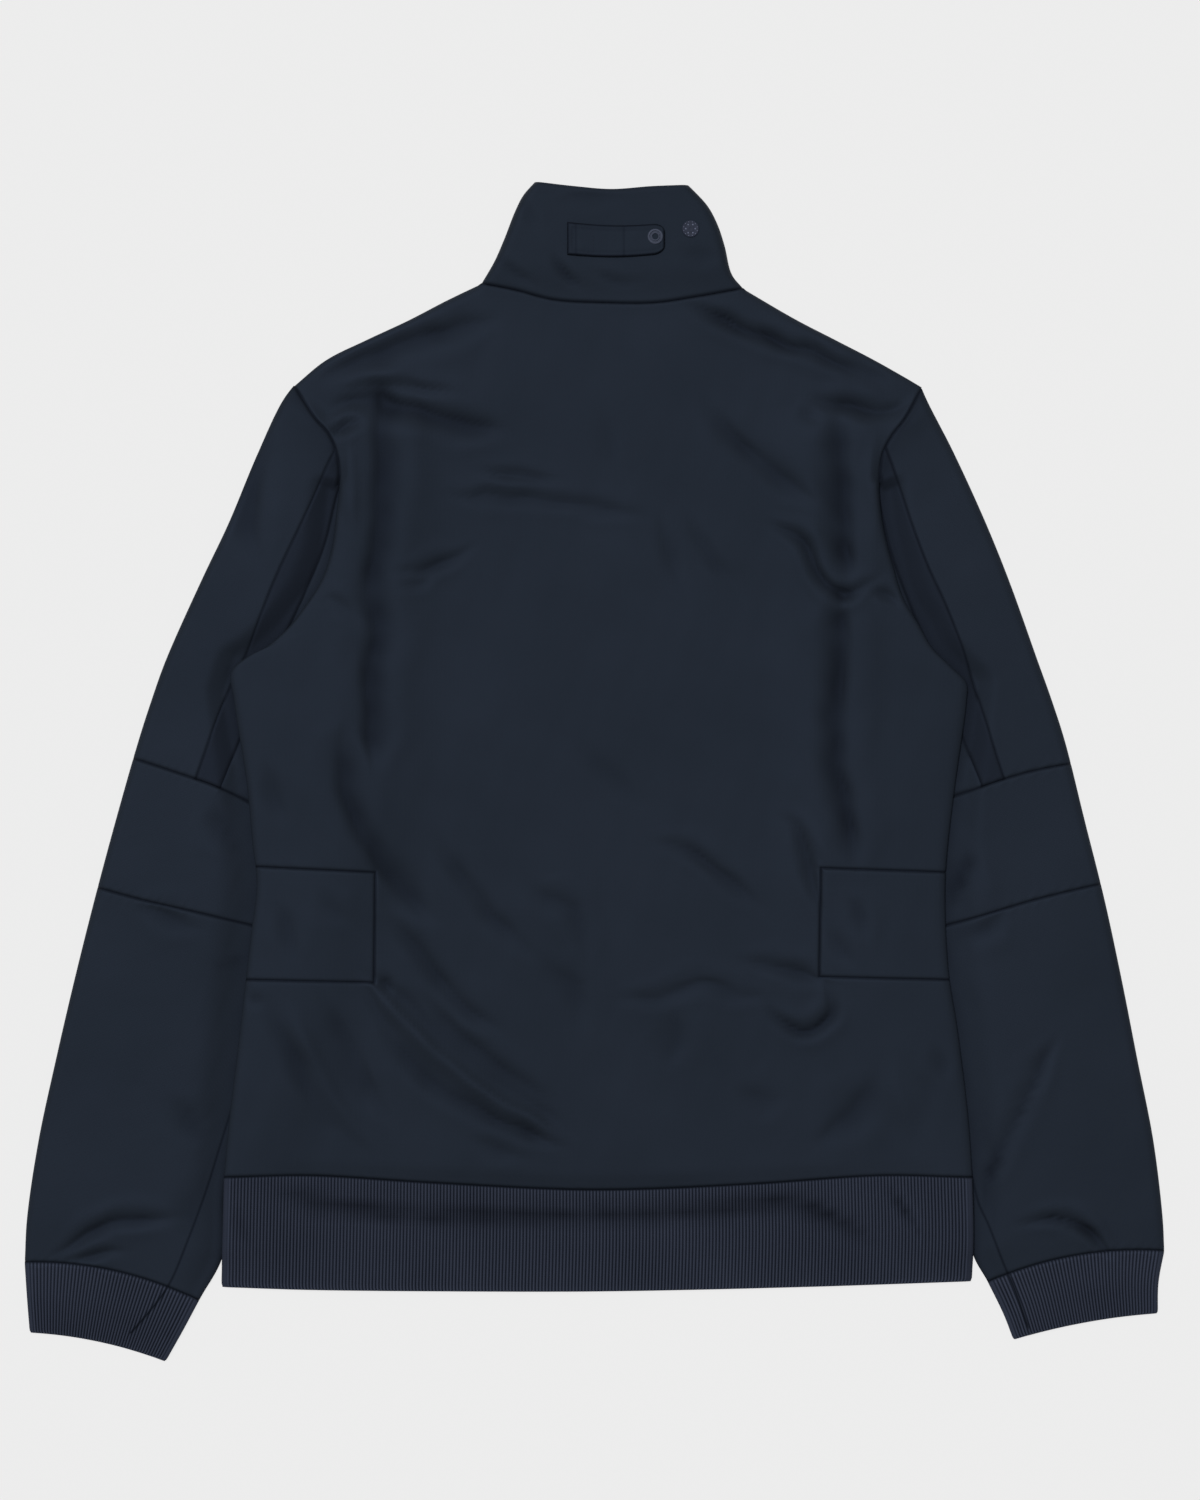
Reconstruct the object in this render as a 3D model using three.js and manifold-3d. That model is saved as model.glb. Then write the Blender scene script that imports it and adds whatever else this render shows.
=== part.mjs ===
// A zipped track jacket that lies flat, back up, with its sleeves along its sides.
// Millimetres. +X is the wearer's right, +Y the collar, +Z up, and z = 0 is what it lies on.

import * as THREE from "three";
import { mergeVertices } from "three/addons/utils/BufferGeometryUtils.js";
import Module from "manifold-3d";

const wasm = await Module();
wasm.setup();

// Cloth and gaps
const CLOTH = 1.3; // tricot with its brushed back
const COLLAR_KNIT = 1.8;
const RIB_KNIT = 2;
const SEAM = 0.3; // between two pieces at a seam
const LAYER = 0.6; // between two layers that lie on each other
const PRESSED = 3.4; // both layers of a sleeve where the body lies on them

// Heights of the cloth's outer side
const BODY_PUFF = 3.2; // how far the middle of the back stands over its edges
const BACK_AIR = 0.6; // between the layers where the back lies flattest
const HEM_PUFF = 1.6;
const ROLL = 6; // how far in from a folded edge the cloth turns
const RAMP_FRONT = 14; // width of the slope off a hidden sleeve, in the fronts
const RAMP_BACK = 28; // and in the back, which bridges it
const SEAM_SIDE = 11; // how far a seam pulls the cloth down beside it
const UNDER_BODY = 8; // how far out of the body's edge a sleeve is still pressed flat
const PRESS_SLOPE = 0.4; // and how fast it rises from there
const NECK_SEAM_HEIGHT = 7.8;
const HEM_SEAM_HEIGHT = 5.6;
const COLLAR_CROWN = 9.6;

// Ribs
const HEM_RIBS = 226;
const CUFF_RIBS = 44;
const RIB_RELIEF = 0.7;
const RIB_FOLD = RIB_KNIT + 0.5; // height of the middle of a folded rib edge

// Where the zip stops the cloth, as y
const ZIP_LOW = -363;
const ZIP_AT_HEM_SEAM = -291.7;
const ZIP_AT_NECK_SEAM = 288.7;
const ZIP_AT_COLLAR_TOP = 405;

// Zip, all of it under the jacket
const CHAIN_WIDTH = 8;
const CHAIN_THICK = 1.8;
const SLIDER = { y: 390, half: 6, width: 8, plate: 0.8, bottom: 3, bridge: 1.6 };
const CHAIN_RISE = 4.1; // the chain's height over the floor inside the slider
const ARCH = { reach: 4, wall: 0.8, foot: 0.2 }; // holds the pull under the slider
const PULL = { thick: 1, eye: 2.6, width: 5.2, reach: 24, neck: 5, chamfer: 1.5, z: 2 };

// Outlines, in rows of [x, y]
const SIDE_LEFT = [
  [-259, -283], [-255, -241], [-248, -183], [-240, -113], [-236, -78], [-239, -50], [-243, -8],
  [-252, 50], [-254, 70], [-245, 79], [-230, 87], [-215, 100], [-203, 115], [-191, 134],
  [-184, 155], [-180, 184], [-178, 205], [-180, 223], [-186, 237], [-194, 246], [-210, 270],
];
const SIDE_RIGHT = [
  [264, -283], [261, -241], [254, -183], [247, -136], [245, -80], [247, -50], [252, -8],
  [260, 50], [260, 62], [249, 74], [236, 87], [226, 104], [216, 121], [208, 146],
  [203, 165], [200, 184], [199, 204], [201, 222], [207, 234], [216, 246], [229, 269],
];
const ARMHOLE_LOW = { left: 203, right: 202 }; // y where the body starts to lie over the sleeve
const SHOULDER_LEFT = [
  [-210, 270], [-188, 288], [-160, 302], [-130, 316], [-103, 330], [-79, 341.5],
];
const SHOULDER_RIGHT = [
  [104, 338], [140, 317], [169, 302], [196, 288], [219, 275], [229, 269],
];
const NECK = [[-79, 341.5], [-56, 337], [-28, 330], [7, 328], [42, 328], [70, 332], [104, 338]];
const HEM_SEAM = [
  [-259, -283], [-199, -282], [-115, -287], [0, -292], [109, -288], [200, -282], [264, -283],
];
const FRONT_NECK_LEFT = [[-79, 341.5], [-66, 318], [-40, 298], [-4.3, 289]];
const FRONT_NECK_RIGHT = [[4.3, 289], [50, 297], [86, 315], [104, 338]];
const COLLAR_LEFT = [
  [-79, 341.5], [-70, 357], [-63, 373], [-56, 391], [-50, 403], [-42, 412.3],
];
const COLLAR_RIGHT = [[104, 338], [96, 348], [91, 368], [86, 383], [79, 396], [66, 410]];
const COLLAR_TOP = [[-42, 412.3], [-14, 409], [12, 407], [40, 409], [66, 410]];
const COLLAR_UNDER_LEFT = [[-42, 412.3], [-22, 407], [-4.3, 405]];
const COLLAR_UNDER_RIGHT = [[4.3, 405], [36, 406], [66, 410]];
const HEM_BOTTOM = [
  [-261, -360], [-200, -362], [-100, -363], [4, -363], [144, -360], [264, -356],
];
const HEM_END_LEFT = [[-261, -360], [-260, -322], [-259, -283]];
const HEM_END_RIGHT = [[264, -356], [265, -322], [264, -283]];

// Sleeves: a row for each section, [outer x, outer y, inner x, inner y, crown, bow].
// Bow is how far the middle of the section lies up the sleeve from the line between its ends.
const SLEEVE_LEFT = [
  [-204, 276, -148, 256, 7.6, 0],
  [-217, 260, -150, 238, 8, 0],
  [-236, 222, -151, 197, 8.2, 0],
  [-256, 174, -152, 146, 8.4, 0],
  [-275, 134, -152, 100, 8.6, 0],
  [-300, 78, -155, 40, 8.8, 0],
  [-310, 50, -158, 10, 8.8, 0],
  [-319, 22, -163, -20, 8.8, 0],
  [-335, -34, -178, -74, 8.8, 0],
  [-350, -90, -197, -128, 8.8, 0],
  [-364, -146, -213, -180, 8.8, 0],
  [-377, -202, -232, -234, 8.6, 1],
  [-389, -258, -262.5, -292, 8.2, 3],
  [-397, -312, -264, -340, 7.6, 6],
  [-398.6, -342.6, -276.5, -369.5, 6, 8],
];
const SLEEVE_RIGHT = [
  [216, 278, 166, 258, 7.6, 0],
  [231, 260, 169, 238, 8, 0],
  [251, 224, 171, 197, 8.2, 0],
  [273, 176, 172, 146, 8.4, 0],
  [290, 134, 172, 100, 8.6, 0],
  [310, 78, 173, 40, 8.8, 0],
  [320, 50, 173, 10, 8.8, 0],
  [329, 22, 174, -20, 8.8, 0],
  [343, -34, 183, -74, 8.8, 0],
  [357, -90, 200, -128, 8.8, 0],
  [369, -146, 220, -180, 8.8, 0],
  [380, -202, 238, -234, 8.6, 1],
  [391, -258, 267, -292, 8.2, 3],
  [397.5, -312, 268, -337, 7.6, 6],
  [398.6, -334.6, 275, -356.5, 6, 8],
];
const CUFF_LEFT = [
  [-397.4, -343.4, -278, -369.7, 6, 7.7],
  [-397, -367, -288, -391, 7.5, 6],
  [-395, -392, -300, -412.3, 5, 4],
];
const CUFF_RIGHT = [
  [397.4, -335.3, 277, -356.7, 6, 7.7],
  [394.5, -357, 286, -379, 7.5, 6],
  [394, -378.5, 293, -397, 5, 3],
];

// Seams that part one piece of cloth from the next, in rows of [x, y]
const ELBOW_TOP = {
  left: [[-340, 14], [-324, 10], [-296, 1], [-262, -11], [-226, -28], [-150, -50]],
  right: [[350, 8], [333, 6], [299, -1], [257, -15], [220, -28], [158, -50]],
};
const ELBOW_LOW = {
  left: [[-362, -76], [-346, -81], [-313, -90], [-273, -99], [-241, -107], [-180, -124]],
  right: [[372, -74], [354, -78], [308, -89], [268, -101], [230, -112], [176, -128]],
};
const TAPE_OUTER = {
  left: [
    [-165, 244], [-181, 225], [-199, 186], [-224, 133],
    [-245, 79], [-259, 50], [-272, 14], [-283, -18],
  ],
  right: [
    [192, 246], [204, 225], [220, 178], [233, 144],
    [245, 118], [257, 87], [268, 52], [291, -20],
  ],
};
const TAPE_INNER = {
  left: [
    [-168, 222], [-178, 200], [-189, 158], [-203, 124],
    [-222, 82], [-240, 40], [-253, 10], [-267, -26],
  ],
  right: [
    [190, 222], [197, 197], [207, 154], [221, 116],
    [234, 84], [249, 45], [262, 12], [277, -26],
  ],
};
const HIP_LEFT = [
  [-262, -66], [-237, -66], [-190, -69], [-156, -70], [-152, -74], [-153, -110],
  [-154, -146], [-158, -149], [-208, -146], [-243, -144], [-270, -143],
];
const HIP_RIGHT = [
  [272, -71], [247, -70], [200, -68], [162, -66], [158, -70], [157, -105],
  [156, -141], [160, -144], [191, -146], [247, -145], [276, -145],
];

// Folds: [from x, from y, to x, to y, bow, height, half width]. A negative height is a trough.
const BACK_FOLDS = [
  [-195, 276, -56, 321, 0, -1.6, 8],
  [-180, 258, -59, 234, 3, -1.8, 7],
  [-180, 272, -100, 267, 6, -1, 6],
  [-145, 241, -155, 85, 4, -1.6, 8],
  [-166, 69, -176, -20, 1, -1.5, 8],
  [-175, -27, -108, -104, -2, -1.6, 9],
  [-147, 141, -82, 158, -12, -1.3, 7],
  [-100, 195, 9, 186, 3, -0.7, 9],
  [69, 326, 203, 274, -2, -1.8, 8],
  [79, 246, 165, 181, -1, -1.3, 8],
  [77, 270, 119, 240, -1, -0.9, 7],
  [174, 246, 170, 50, 1, -1.8, 9],
  [170, 50, 184, -55, -5, -1.5, 9],
  [128, 169, 192, 133, -8, -1.6, 7],
  [-145, -99, -52, -183, -8, -1.4, 9],
  [-159, -153, -10, -260, -9, 1.8, 9],
  [-222, -155, -162, -251, 1, 1.6, 8],
  [-229, 10, -212, -43, 3, -1, 8],
  [-101, -52, -59, -106, -1, -1, 9],
  [125, -31, 154, -94, 7, -1.3, 8],
  [34, -44, 111, -94, 10, -1.2, 8],
  [97, -130, 153, -141, 9, -1, 7],
  [81, -158, 130, -160, 3, -0.9, 7],
  [128, -168, 165, -167, -15, -1.6, 6],
];
const SLEEVE_FOLDS = [
  [-220, 241, -229, 132, -13, -1.6, 9],
  [-325, -93, -269, -114, 3, -1.4, 9],
  [-297, -226, -273, -265, 6, -1.4, 9],
  [-374, -333, -301, -300, 4, -1.4, 9],
  [247, -114, 291, -98, -4, -1.4, 9],
  [284, -251, 312, -202, -5, -1.4, 9],
  [310, -310, 357, -335, 10, -1.7, 9],
];

// Small helpers
const clamp = (value, low, high) => Math.min(high, Math.max(low, value));
const mix = (a, b, share) => a + (b - a) * share;
function smoothstep(from, to, value) {
  const share = clamp((value - from) / (to - from), 0, 1);
  return share * share * (3 - 2 * share);
}
const flat = ([x, y]) => new THREE.Vector3(x, y, 0);

// The way a folded edge rises, 0 at the edge and 1 from ROLL inwards.
const roll = (distance) => Math.sqrt(1 - (1 - clamp(distance / ROLL, 0, 1)) ** 2);

const curveOf = (rows) => new THREE.CatmullRomCurve3(rows.map(flat), false, "centripetal");

// Several curves end to end, each on its own share of 0 to 1.
function chained(parts) {
  const curves = parts.map(curveOf);
  return (share) => {
    const place = clamp(share, 0, 1) * curves.length;
    const index = Math.min(curves.length - 1, Math.floor(place));
    return curves[index].getPointAt(clamp(place - index, 0, 1));
  };
}

// x on a line whose y falls or rises all along, at a given y.
function crossing(rows) {
  const points = curveOf(rows).getPoints(rows.length * 8);
  const rising = points.at(-1).y > points[0].y;
  const sorted = rising ? points : points.reverse();
  return (y) => {
    const next = sorted.findIndex((point) => point.y > y);
    if (next === -1) return sorted.at(-1).x;
    if (next === 0) return sorted[0].x;
    const [a, b] = [sorted[next - 1], sorted[next]];
    return mix(a.x, b.x, (y - a.y) / (b.y - a.y));
  };
}

function nearest(points, x, y) {
  let best = Infinity;
  for (const point of points) best = Math.min(best, Math.hypot(point.x - x, point.y - y));
  return best;
}

// The sum of soft folds at a place: each is a bowed trough or ridge that dies out at its ends.
function foldsAt(folds, x, y) {
  let sum = 0;
  for (const [fromX, fromY, toX, toY, bow, height, half] of folds) {
    const length = Math.hypot(toX - fromX, toY - fromY);
    const dirX = (toX - fromX) / length;
    const dirY = (toY - fromY) / length;
    const along = ((x - fromX) * dirX + (y - fromY) * dirY) / length;
    if (along <= 0 || along >= 1) continue;
    const aside = (y - fromY) * dirX - (x - fromX) * dirY - bow * 4 * along * (1 - along);
    const ends = smoothstep(0, 0.25, along) * smoothstep(0, 0.25, 1 - along);
    sum += height * ends * Math.exp(-((aside / half) ** 2));
  }
  return sum;
}

// What lies under the body: the hidden parts of the sleeves
const innerEdge = {
  left: crossing(SLEEVE_LEFT.map((row) => [row[2], row[3]])),
  right: crossing(SLEEVE_RIGHT.map((row) => [row[2], row[3]])),
};
const bodyEdge = {
  left: crossing([[-261, -370], ...SIDE_LEFT]),
  right: crossing([[265, -370], ...SIDE_RIGHT]),
};

// Height of the floor that a layer of the body lies on: the sleeve where one is under it.
function groundAt(x, y, ramp) {
  const belowArmhole = (low) => smoothstep(low + 56, low + 30, y);
  const onLeft = smoothstep(ramp, 0, x - innerEdge.left(y)) * belowArmhole(ARMHOLE_LOW.left);
  const onRight = smoothstep(ramp, 0, innerEdge.right(y) - x) * belowArmhole(ARMHOLE_LOW.right);
  return (PRESSED + LAYER) * Math.max(onLeft, onRight) * smoothstep(-320, -290, y);
}

// The zip lifts the cloth beside it where the slider is.
const chainLift = (y) => CHAIN_RISE * smoothstep(300, 368, y);
const liftBeside = (x, y) => chainLift(y) * smoothstep(42, 7, Math.abs(x));

// Height along the armhole seam, highest where the sleeve is fullest
const armholeHeight = (y) =>
  4 + 4.6 * smoothstep(272, 240, y) - 1.2 * smoothstep(230, ARMHOLE_LOW.left, y);

// Top of the back at a place; across is 0 to 1 from side to side.
function backHeight(x, y, across) {
  const puff = BODY_PUFF * Math.sqrt(4 * across * (1 - across));
  return groundAt(x, y, RAMP_BACK) + 2 * CLOTH + LAYER + BACK_AIR + puff + foldsAt(BACK_FOLDS, x, y);
}

const collarHeight = (x, y) =>
  mix(NECK_SEAM_HEIGHT, COLLAR_CROWN, smoothstep(0, 24, y - 330 - 0.0006 * (x - 12) ** 2));

// Meshes
// A grid is rows of points with, for each row, how far round each point is, from 0 to 1.
function makeGrid(rowCount, columnCount, place) {
  const rows = [];
  const at = [];
  for (let r = 0; r < rowCount; r++) {
    rows.push([]);
    for (let c = 0; c < columnCount; c++) rows[r].push(place(r, c));
  }
  for (let c = 0; c < columnCount; c++) at.push(c / (columnCount - 1));
  return { rows, at };
}

// Triangles between two lines of points that run the same way.
function stitch(triangles, a, aAt, b, bAt) {
  let i = 0;
  let j = 0;
  while (i < a.length - 1 || j < b.length - 1) {
    const stepA = i < a.length - 1 && (j === b.length - 1 || aAt[i + 1] <= bAt[j + 1]);
    if (stepA) {
      triangles.push(a[i], a[i + 1], b[j]);
      i++;
    } else {
      triangles.push(a[i], b[j + 1], b[j]);
      j++;
    }
  }
}

function solidOf(positions, triangles) {
  const geometry = new THREE.BufferGeometry();
  geometry.setAttribute("position", new THREE.Float32BufferAttribute(positions, 3));
  geometry.setIndex(triangles);
  return solidFrom(geometry);
}

function solidFrom(geometry) {
  const plain = geometry.clone();
  plain.deleteAttribute("normal");
  plain.deleteAttribute("uv");
  const merged = mergeVertices(plain, 1e-4);
  const triVerts = new Uint32Array(merged.index.array);
  const vertProperties = new Float32Array(merged.attributes.position.array);
  const made = new wasm.Manifold(new wasm.Mesh({ numProp: 3, vertProperties, triVerts }));
  if (made.volume() > 0) return made;
  for (let i = 0; i < triVerts.length; i += 3) {
    [triVerts[i + 1], triVerts[i + 2]] = [triVerts[i + 2], triVerts[i + 1]];
  }
  return new wasm.Manifold(new wasm.Mesh({ numProp: 3, vertProperties, triVerts }));
}

// A wall between an outer and an inner grid with the same number of rows.
function wallSolid(outer, inner, closed = false) {
  const positions = [];
  const triangles = [];
  const index = (grid) =>
    grid.rows.map((row) => {
      const first = positions.length / 3;
      row.forEach((point) => positions.push(point.x, point.y, point.z));
      const ids = row.map((_, c) => first + c);
      if (closed) ids.push(first);
      return ids;
    });
  const outerIds = index(outer);
  const innerIds = index(inner);
  const outerAt = closed ? [...outer.at, 1] : outer.at;
  const innerAt = closed ? [...inner.at, 1] : inner.at;
  const last = outerIds.length - 1;
  for (let r = 0; r < last; r++) {
    stitch(triangles, outerIds[r], outerAt, outerIds[r + 1], outerAt);
    stitch(triangles, innerIds[r + 1], innerAt, innerIds[r], innerAt);
  }
  stitch(triangles, innerIds[0], innerAt, outerIds[0], outerAt);
  stitch(triangles, outerIds[last], outerAt, innerIds[last], innerAt);
  if (!closed) {
    const down = outerIds.map((_, r) => r);
    const column = (ids, end) => ids.map((row) => row.at(end));
    stitch(triangles, column(outerIds, 0), down, column(innerIds, 0), down);
    stitch(triangles, column(innerIds, -1), down, column(outerIds, -1), down);
  }
  return solidOf(positions, triangles);
}

// Distances in from both edges of a width, close together where the cloth rolls.
function stepsAcross(width, count, turns = [0, 0.7, 2.4, ROLL]) {
  const edge = turns.map((distance) => distance / width);
  const middle = [];
  for (let i = 1; i < count; i++) middle.push(mix(edge.at(-1), 1 - edge.at(-1), i / count));
  return [...edge, ...middle, ...edge.map((share) => 1 - share).reverse()];
}

// A patch between four edges: each is a function of 0 to 1 that gives a point.
function patch(bottom, top, left, right) {
  const [a, b, c, d] = [bottom(0), bottom(1), top(0), top(1)];
  return (u, v) => {
    const across = bottom(u).lerp(top(u), v);
    const up = left(v).lerp(right(v), u);
    const corners = a.clone().lerp(b, u).lerp(c.clone().lerp(d, u), v);
    return across.add(up).sub(corners);
  };
}

// A panel: points on a patch, their height, and the same points one thickness lower. The
// shares across may be one list, or a list for each row.
function panelSolid({ at, us, vs, height, thick, normalAt }) {
  const across = Array.isArray(us[0]) ? us : vs.map(() => us);
  const place = (r, c) => {
    const point = at(across[r][c], vs[r]);
    point.z = height(point, across[r][c], vs[r]);
    return point;
  };
  const count = across[0].length;
  const outer = makeGrid(vs.length, count, place);
  const inner = makeGrid(vs.length, count, (r, c) => {
    const inward = normalAt(outer.rows, r, c);
    return outer.rows[r][c].clone().addScaledVector(inward, -thick);
  });
  return wallSolid(outer, inner);
}

// The surface's upward normal at a grid point, from its neighbours.
function gridNormal(rows, r, c) {
  const row = rows[r];
  const along = row[Math.min(c + 1, row.length - 1)].clone().sub(row[Math.max(c - 1, 0)]);
  const up = rows[Math.min(r + 1, rows.length - 1)][c].clone().sub(rows[Math.max(r - 1, 0)][c]);
  return along.cross(up).normalize();
}
const straightUp = () => new THREE.Vector3(0, 0, 1);

// The same, lying level, for a folded edge whose cloth stands upright there.
function levelNormal(rows, r, c) {
  const normal = gridNormal(rows, r, c).setZ(0);
  return normal.normalize();
}

// Cutting, from below the jacket to above it
const BELOW = -5;
const ABOVE = 40;

function prism(points, low, high) {
  const shape = new THREE.Shape(points.map((point) => new THREE.Vector2(point.x, point.y)));
  const geometry = new THREE.ExtrudeGeometry(shape, { depth: high - low, bevelEnabled: false });
  return solidFrom(geometry.translate(0, 0, low));
}

// A thin upright blade along a line, one seam gap thick.
function blade(rows, low, high) {
  const points = curveOf(rows).getPoints((rows.length - 1) * 2);
  const sides = [[], []];
  points.forEach((point, i) => {
    const before = points[Math.max(i - 1, 0)];
    const after = points[Math.min(i + 1, points.length - 1)];
    const side = new THREE.Vector3(before.y - after.y, after.x - before.x, 0).setLength(SEAM / 2);
    sides[0].push(point.clone().add(side));
    sides[1].push(point.clone().sub(side));
  });
  return prism([...sides[0], ...sides[1].reverse()], low, high);
}

const bySize = (solid) => solid.decompose().sort((a, b) => b.volume() - a.volume());

// The body of a cut solid that lies nearest to a place.
function pieceAt(solid, x, y) {
  const target = new THREE.Vector3(x, y, 6);
  let best = null;
  let least = Infinity;
  for (const body of solid.decompose()) {
    const { vertProperties, numProp } = body.getMesh();
    for (let i = 0; i < vertProperties.length; i += numProp) {
      const vertex = new THREE.Vector3().fromArray(vertProperties, i);
      const distance = vertex.distanceTo(target);
      if (distance < least) [least, best] = [distance, body];
    }
  }
  return best;
}

// Scene graph
const jacket = new THREE.Group();
const FINISHES = {
  cloth: new THREE.MeshStandardMaterial({ color: 0x232935, roughness: 0.8, metalness: 0 }),
  tape: new THREE.MeshStandardMaterial({ color: 0x1b2028, roughness: 0.7, metalness: 0 }),
  rib: new THREE.MeshStandardMaterial({ color: 0x242832, roughness: 0.9, metalness: 0 }),
  hard: new THREE.MeshStandardMaterial({ color: 0x1c2029, roughness: 0.45, metalness: 0.3 }),
};

function addPiece(name, solid, finish) {
  const mesh = solid.getMesh();
  const geometry = new THREE.BufferGeometry();
  const count = mesh.vertProperties.length / mesh.numProp;
  const positions = new Float32Array(count * 3);
  for (let i = 0; i < count; i++) {
    positions.set(mesh.vertProperties.subarray(i * mesh.numProp, i * mesh.numProp + 3), i * 3);
  }
  geometry.setAttribute("position", new THREE.BufferAttribute(positions, 3));
  geometry.setIndex(new THREE.BufferAttribute(mesh.triVerts, 1));
  geometry.computeVertexNormals();
  const piece = new THREE.Mesh(geometry, FINISHES[finish]);
  piece.name = name;
  jacket.add(piece);
}

// Body
const BODY_LENGTH = 600; // rough length and width of the back, to turn distances into shares
const BODY_WIDTH = 500;
const sideLeft = chained([SIDE_LEFT]);
const sideRight = chained([SIDE_RIGHT]);
const hemSeam = chained([HEM_SEAM]);
const backTop = chained([SHOULDER_LEFT, NECK, SHOULDER_RIGHT]);
const spread = (count) => Array.from({ length: count + 1 }, (_, i) => i / count);

// Rows of the back from the hem to the shoulders, closer along the armholes
const ARMHOLE_SHARE = 0.872;
const backRows = [
  0,
  0.012,
  ...spread(18).slice(1).map((share) => share * ARMHOLE_SHARE),
  ...spread(6).slice(1, -1).map((share) => mix(ARMHOLE_SHARE, 1 - ROLL / BODY_LENGTH, share)),
  ...[ROLL, 2.4, 0.7, 0].map((distance) => 1 - distance / BODY_LENGTH),
];
const NECK_COLUMNS = 8;
const rolled = [0, 0.7, 2.4, ROLL].map((distance) => distance / BODY_WIDTH);
const backColumns = [
  ...rolled,
  ...spread(3 * NECK_COLUMNS).slice(1, -1),
  ...rolled.map((share) => 1 - share).reverse(),
];
const SHARE_TINY = 1e-6;
const overNeck = (u) => u > 1 / 3 - SHARE_TINY && u < 2 / 3 + SHARE_TINY; // the middle of three curves
const alongArmhole = (u, y) => y > (u < 0.5 ? ARMHOLE_LOW.left : ARMHOLE_LOW.right);

function backPanel() {
  const at = patch(hemSeam, backTop, sideLeft, sideRight);
  const us = backColumns;
  const vs = backRows;
  const height = ({ x, y }, u, v) => {
    const side = Math.min(u, 1 - u) * BODY_WIDTH;
    const down = (1 - v) * BODY_LENGTH;
    const rest = backHeight(x, y, u);
    const rim = groundAt(x, y, RAMP_FRONT) + CLOTH + SEAM;
    let z = alongArmhole(u, y)
      ? mix(armholeHeight(y), rest, smoothstep(0, SEAM_SIDE, side))
      : mix(rim, rest, roll(side));
    if (overNeck(u)) z = mix(NECK_SEAM_HEIGHT - 0.6, z, smoothstep(0, SEAM_SIDE, down));
    else z = mix(CLOTH + SEAM, z, roll(down));
    const seam = Math.min(z, groundAt(x, y, RAMP_BACK) + HEM_SEAM_HEIGHT - 0.4);
    return mix(seam, z, smoothstep(0, SEAM_SIDE, v * BODY_LENGTH));
  };
  // At a seam the wall is cut square; at a folded edge it turns down with the cloth.
  const normalAt = (rows, r, c) => {
    const side = us[c] === 0 || us[c] === 1;
    const end = r === rows.length - 1;
    if (end && overNeck(us[c])) return straightUp();
    if (side && alongArmhole(us[c], rows[r][c].y) && !end) return straightUp();
    if (side || end) return levelNormal(rows, r, c);
    return r === 0 ? straightUp() : gridNormal(rows, r, c);
  };
  const whole = panelSolid({ at, us, vs, height, thick: CLOTH, normalAt });
  const cut = whole.subtract(blade(HIP_LEFT, BELOW, ABOVE)).subtract(blade(HIP_RIGHT, BELOW, ABOVE));
  addPiece("back_panel", pieceAt(cut, 0, 0), "cloth");
  addPiece("hip_panel_left", pieceAt(cut, -200, -108), "cloth");
  addPiece("hip_panel_right", pieceAt(cut, 205, -106), "cloth");
}

// Share of the hem seam from a side to the zip
const ZIP_SHARE = 0.492;

function fronts() {
  const vs = backRows.filter((v, i) => v > ARMHOLE_SHARE - 0.05 || i % 2 === 0);
  for (const side of [-1, 1]) {
    const left = side < 0;
    const zipX = side * (CHAIN_WIDTH / 2 + SEAM);
    const zipEdge = (v) => new THREE.Vector3(zipX, mix(ZIP_AT_HEM_SEAM, ZIP_AT_NECK_SEAM, v), 0);
    const hem = (u) => hemSeam(left ? u * ZIP_SHARE : 1 - ZIP_SHARE + u * ZIP_SHARE);
    const neckAndShoulder = left
      ? chained([SHOULDER_LEFT, FRONT_NECK_LEFT])
      : chained([FRONT_NECK_RIGHT, SHOULDER_RIGHT]);
    const at = patch(hem, neckAndShoulder, left ? sideLeft : zipEdge, left ? zipEdge : sideRight);
    // Columns follow the hidden edge of the sleeve, the slope beside it and the neck's corner.
    const sleeveEdge = left ? innerEdge.left : innerEdge.right;
    const us = vs.map((v) => {
      const span = Math.abs(at(1, v).x - at(0, v).x);
      const fromOutside = spread(200).map((share) => (left ? share : 1 - share));
      const beyond = ({ x, y }) => (x - sleeveEdge(y)) * -side > 2;
      const first = fromOutside.find((u) => beyond(at(u, v)));
      const under = Math.max(left ? first : 1 - first, 8 / span);
      const foot = under + RAMP_FRONT / span;
      const list = [0, under / 2, under, mix(under, foot, 0.5), foot, mix(foot, 0.5, 0.5)];
      for (const share of spread(4)) list.push(mix(0.5, 1, share));
      return left ? list : list.map((share) => 1 - share).reverse();
    });
    const height = ({ x, y }) => groundAt(x, y, RAMP_FRONT) + liftBeside(x, y) + CLOTH;
    const made = panelSolid({ at, us, vs, height, thick: CLOTH, normalAt: straightUp });
    addPiece(left ? "front_left" : "front_right", made, "cloth");
  }
}

// Folded tubes and strips: collar, waistband, sleeves and cuffs
// upper and lower give the plan of the two layers, 0 to 1 across and 0 to 1 along. The tube's
// outer points go over the top from its left fold to its right one, then back underneath.
const OPEN_ROUND = 2;
const CLOSED_ROUND = 2.6;
const THINNEST_HALF = 0.9;

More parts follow.
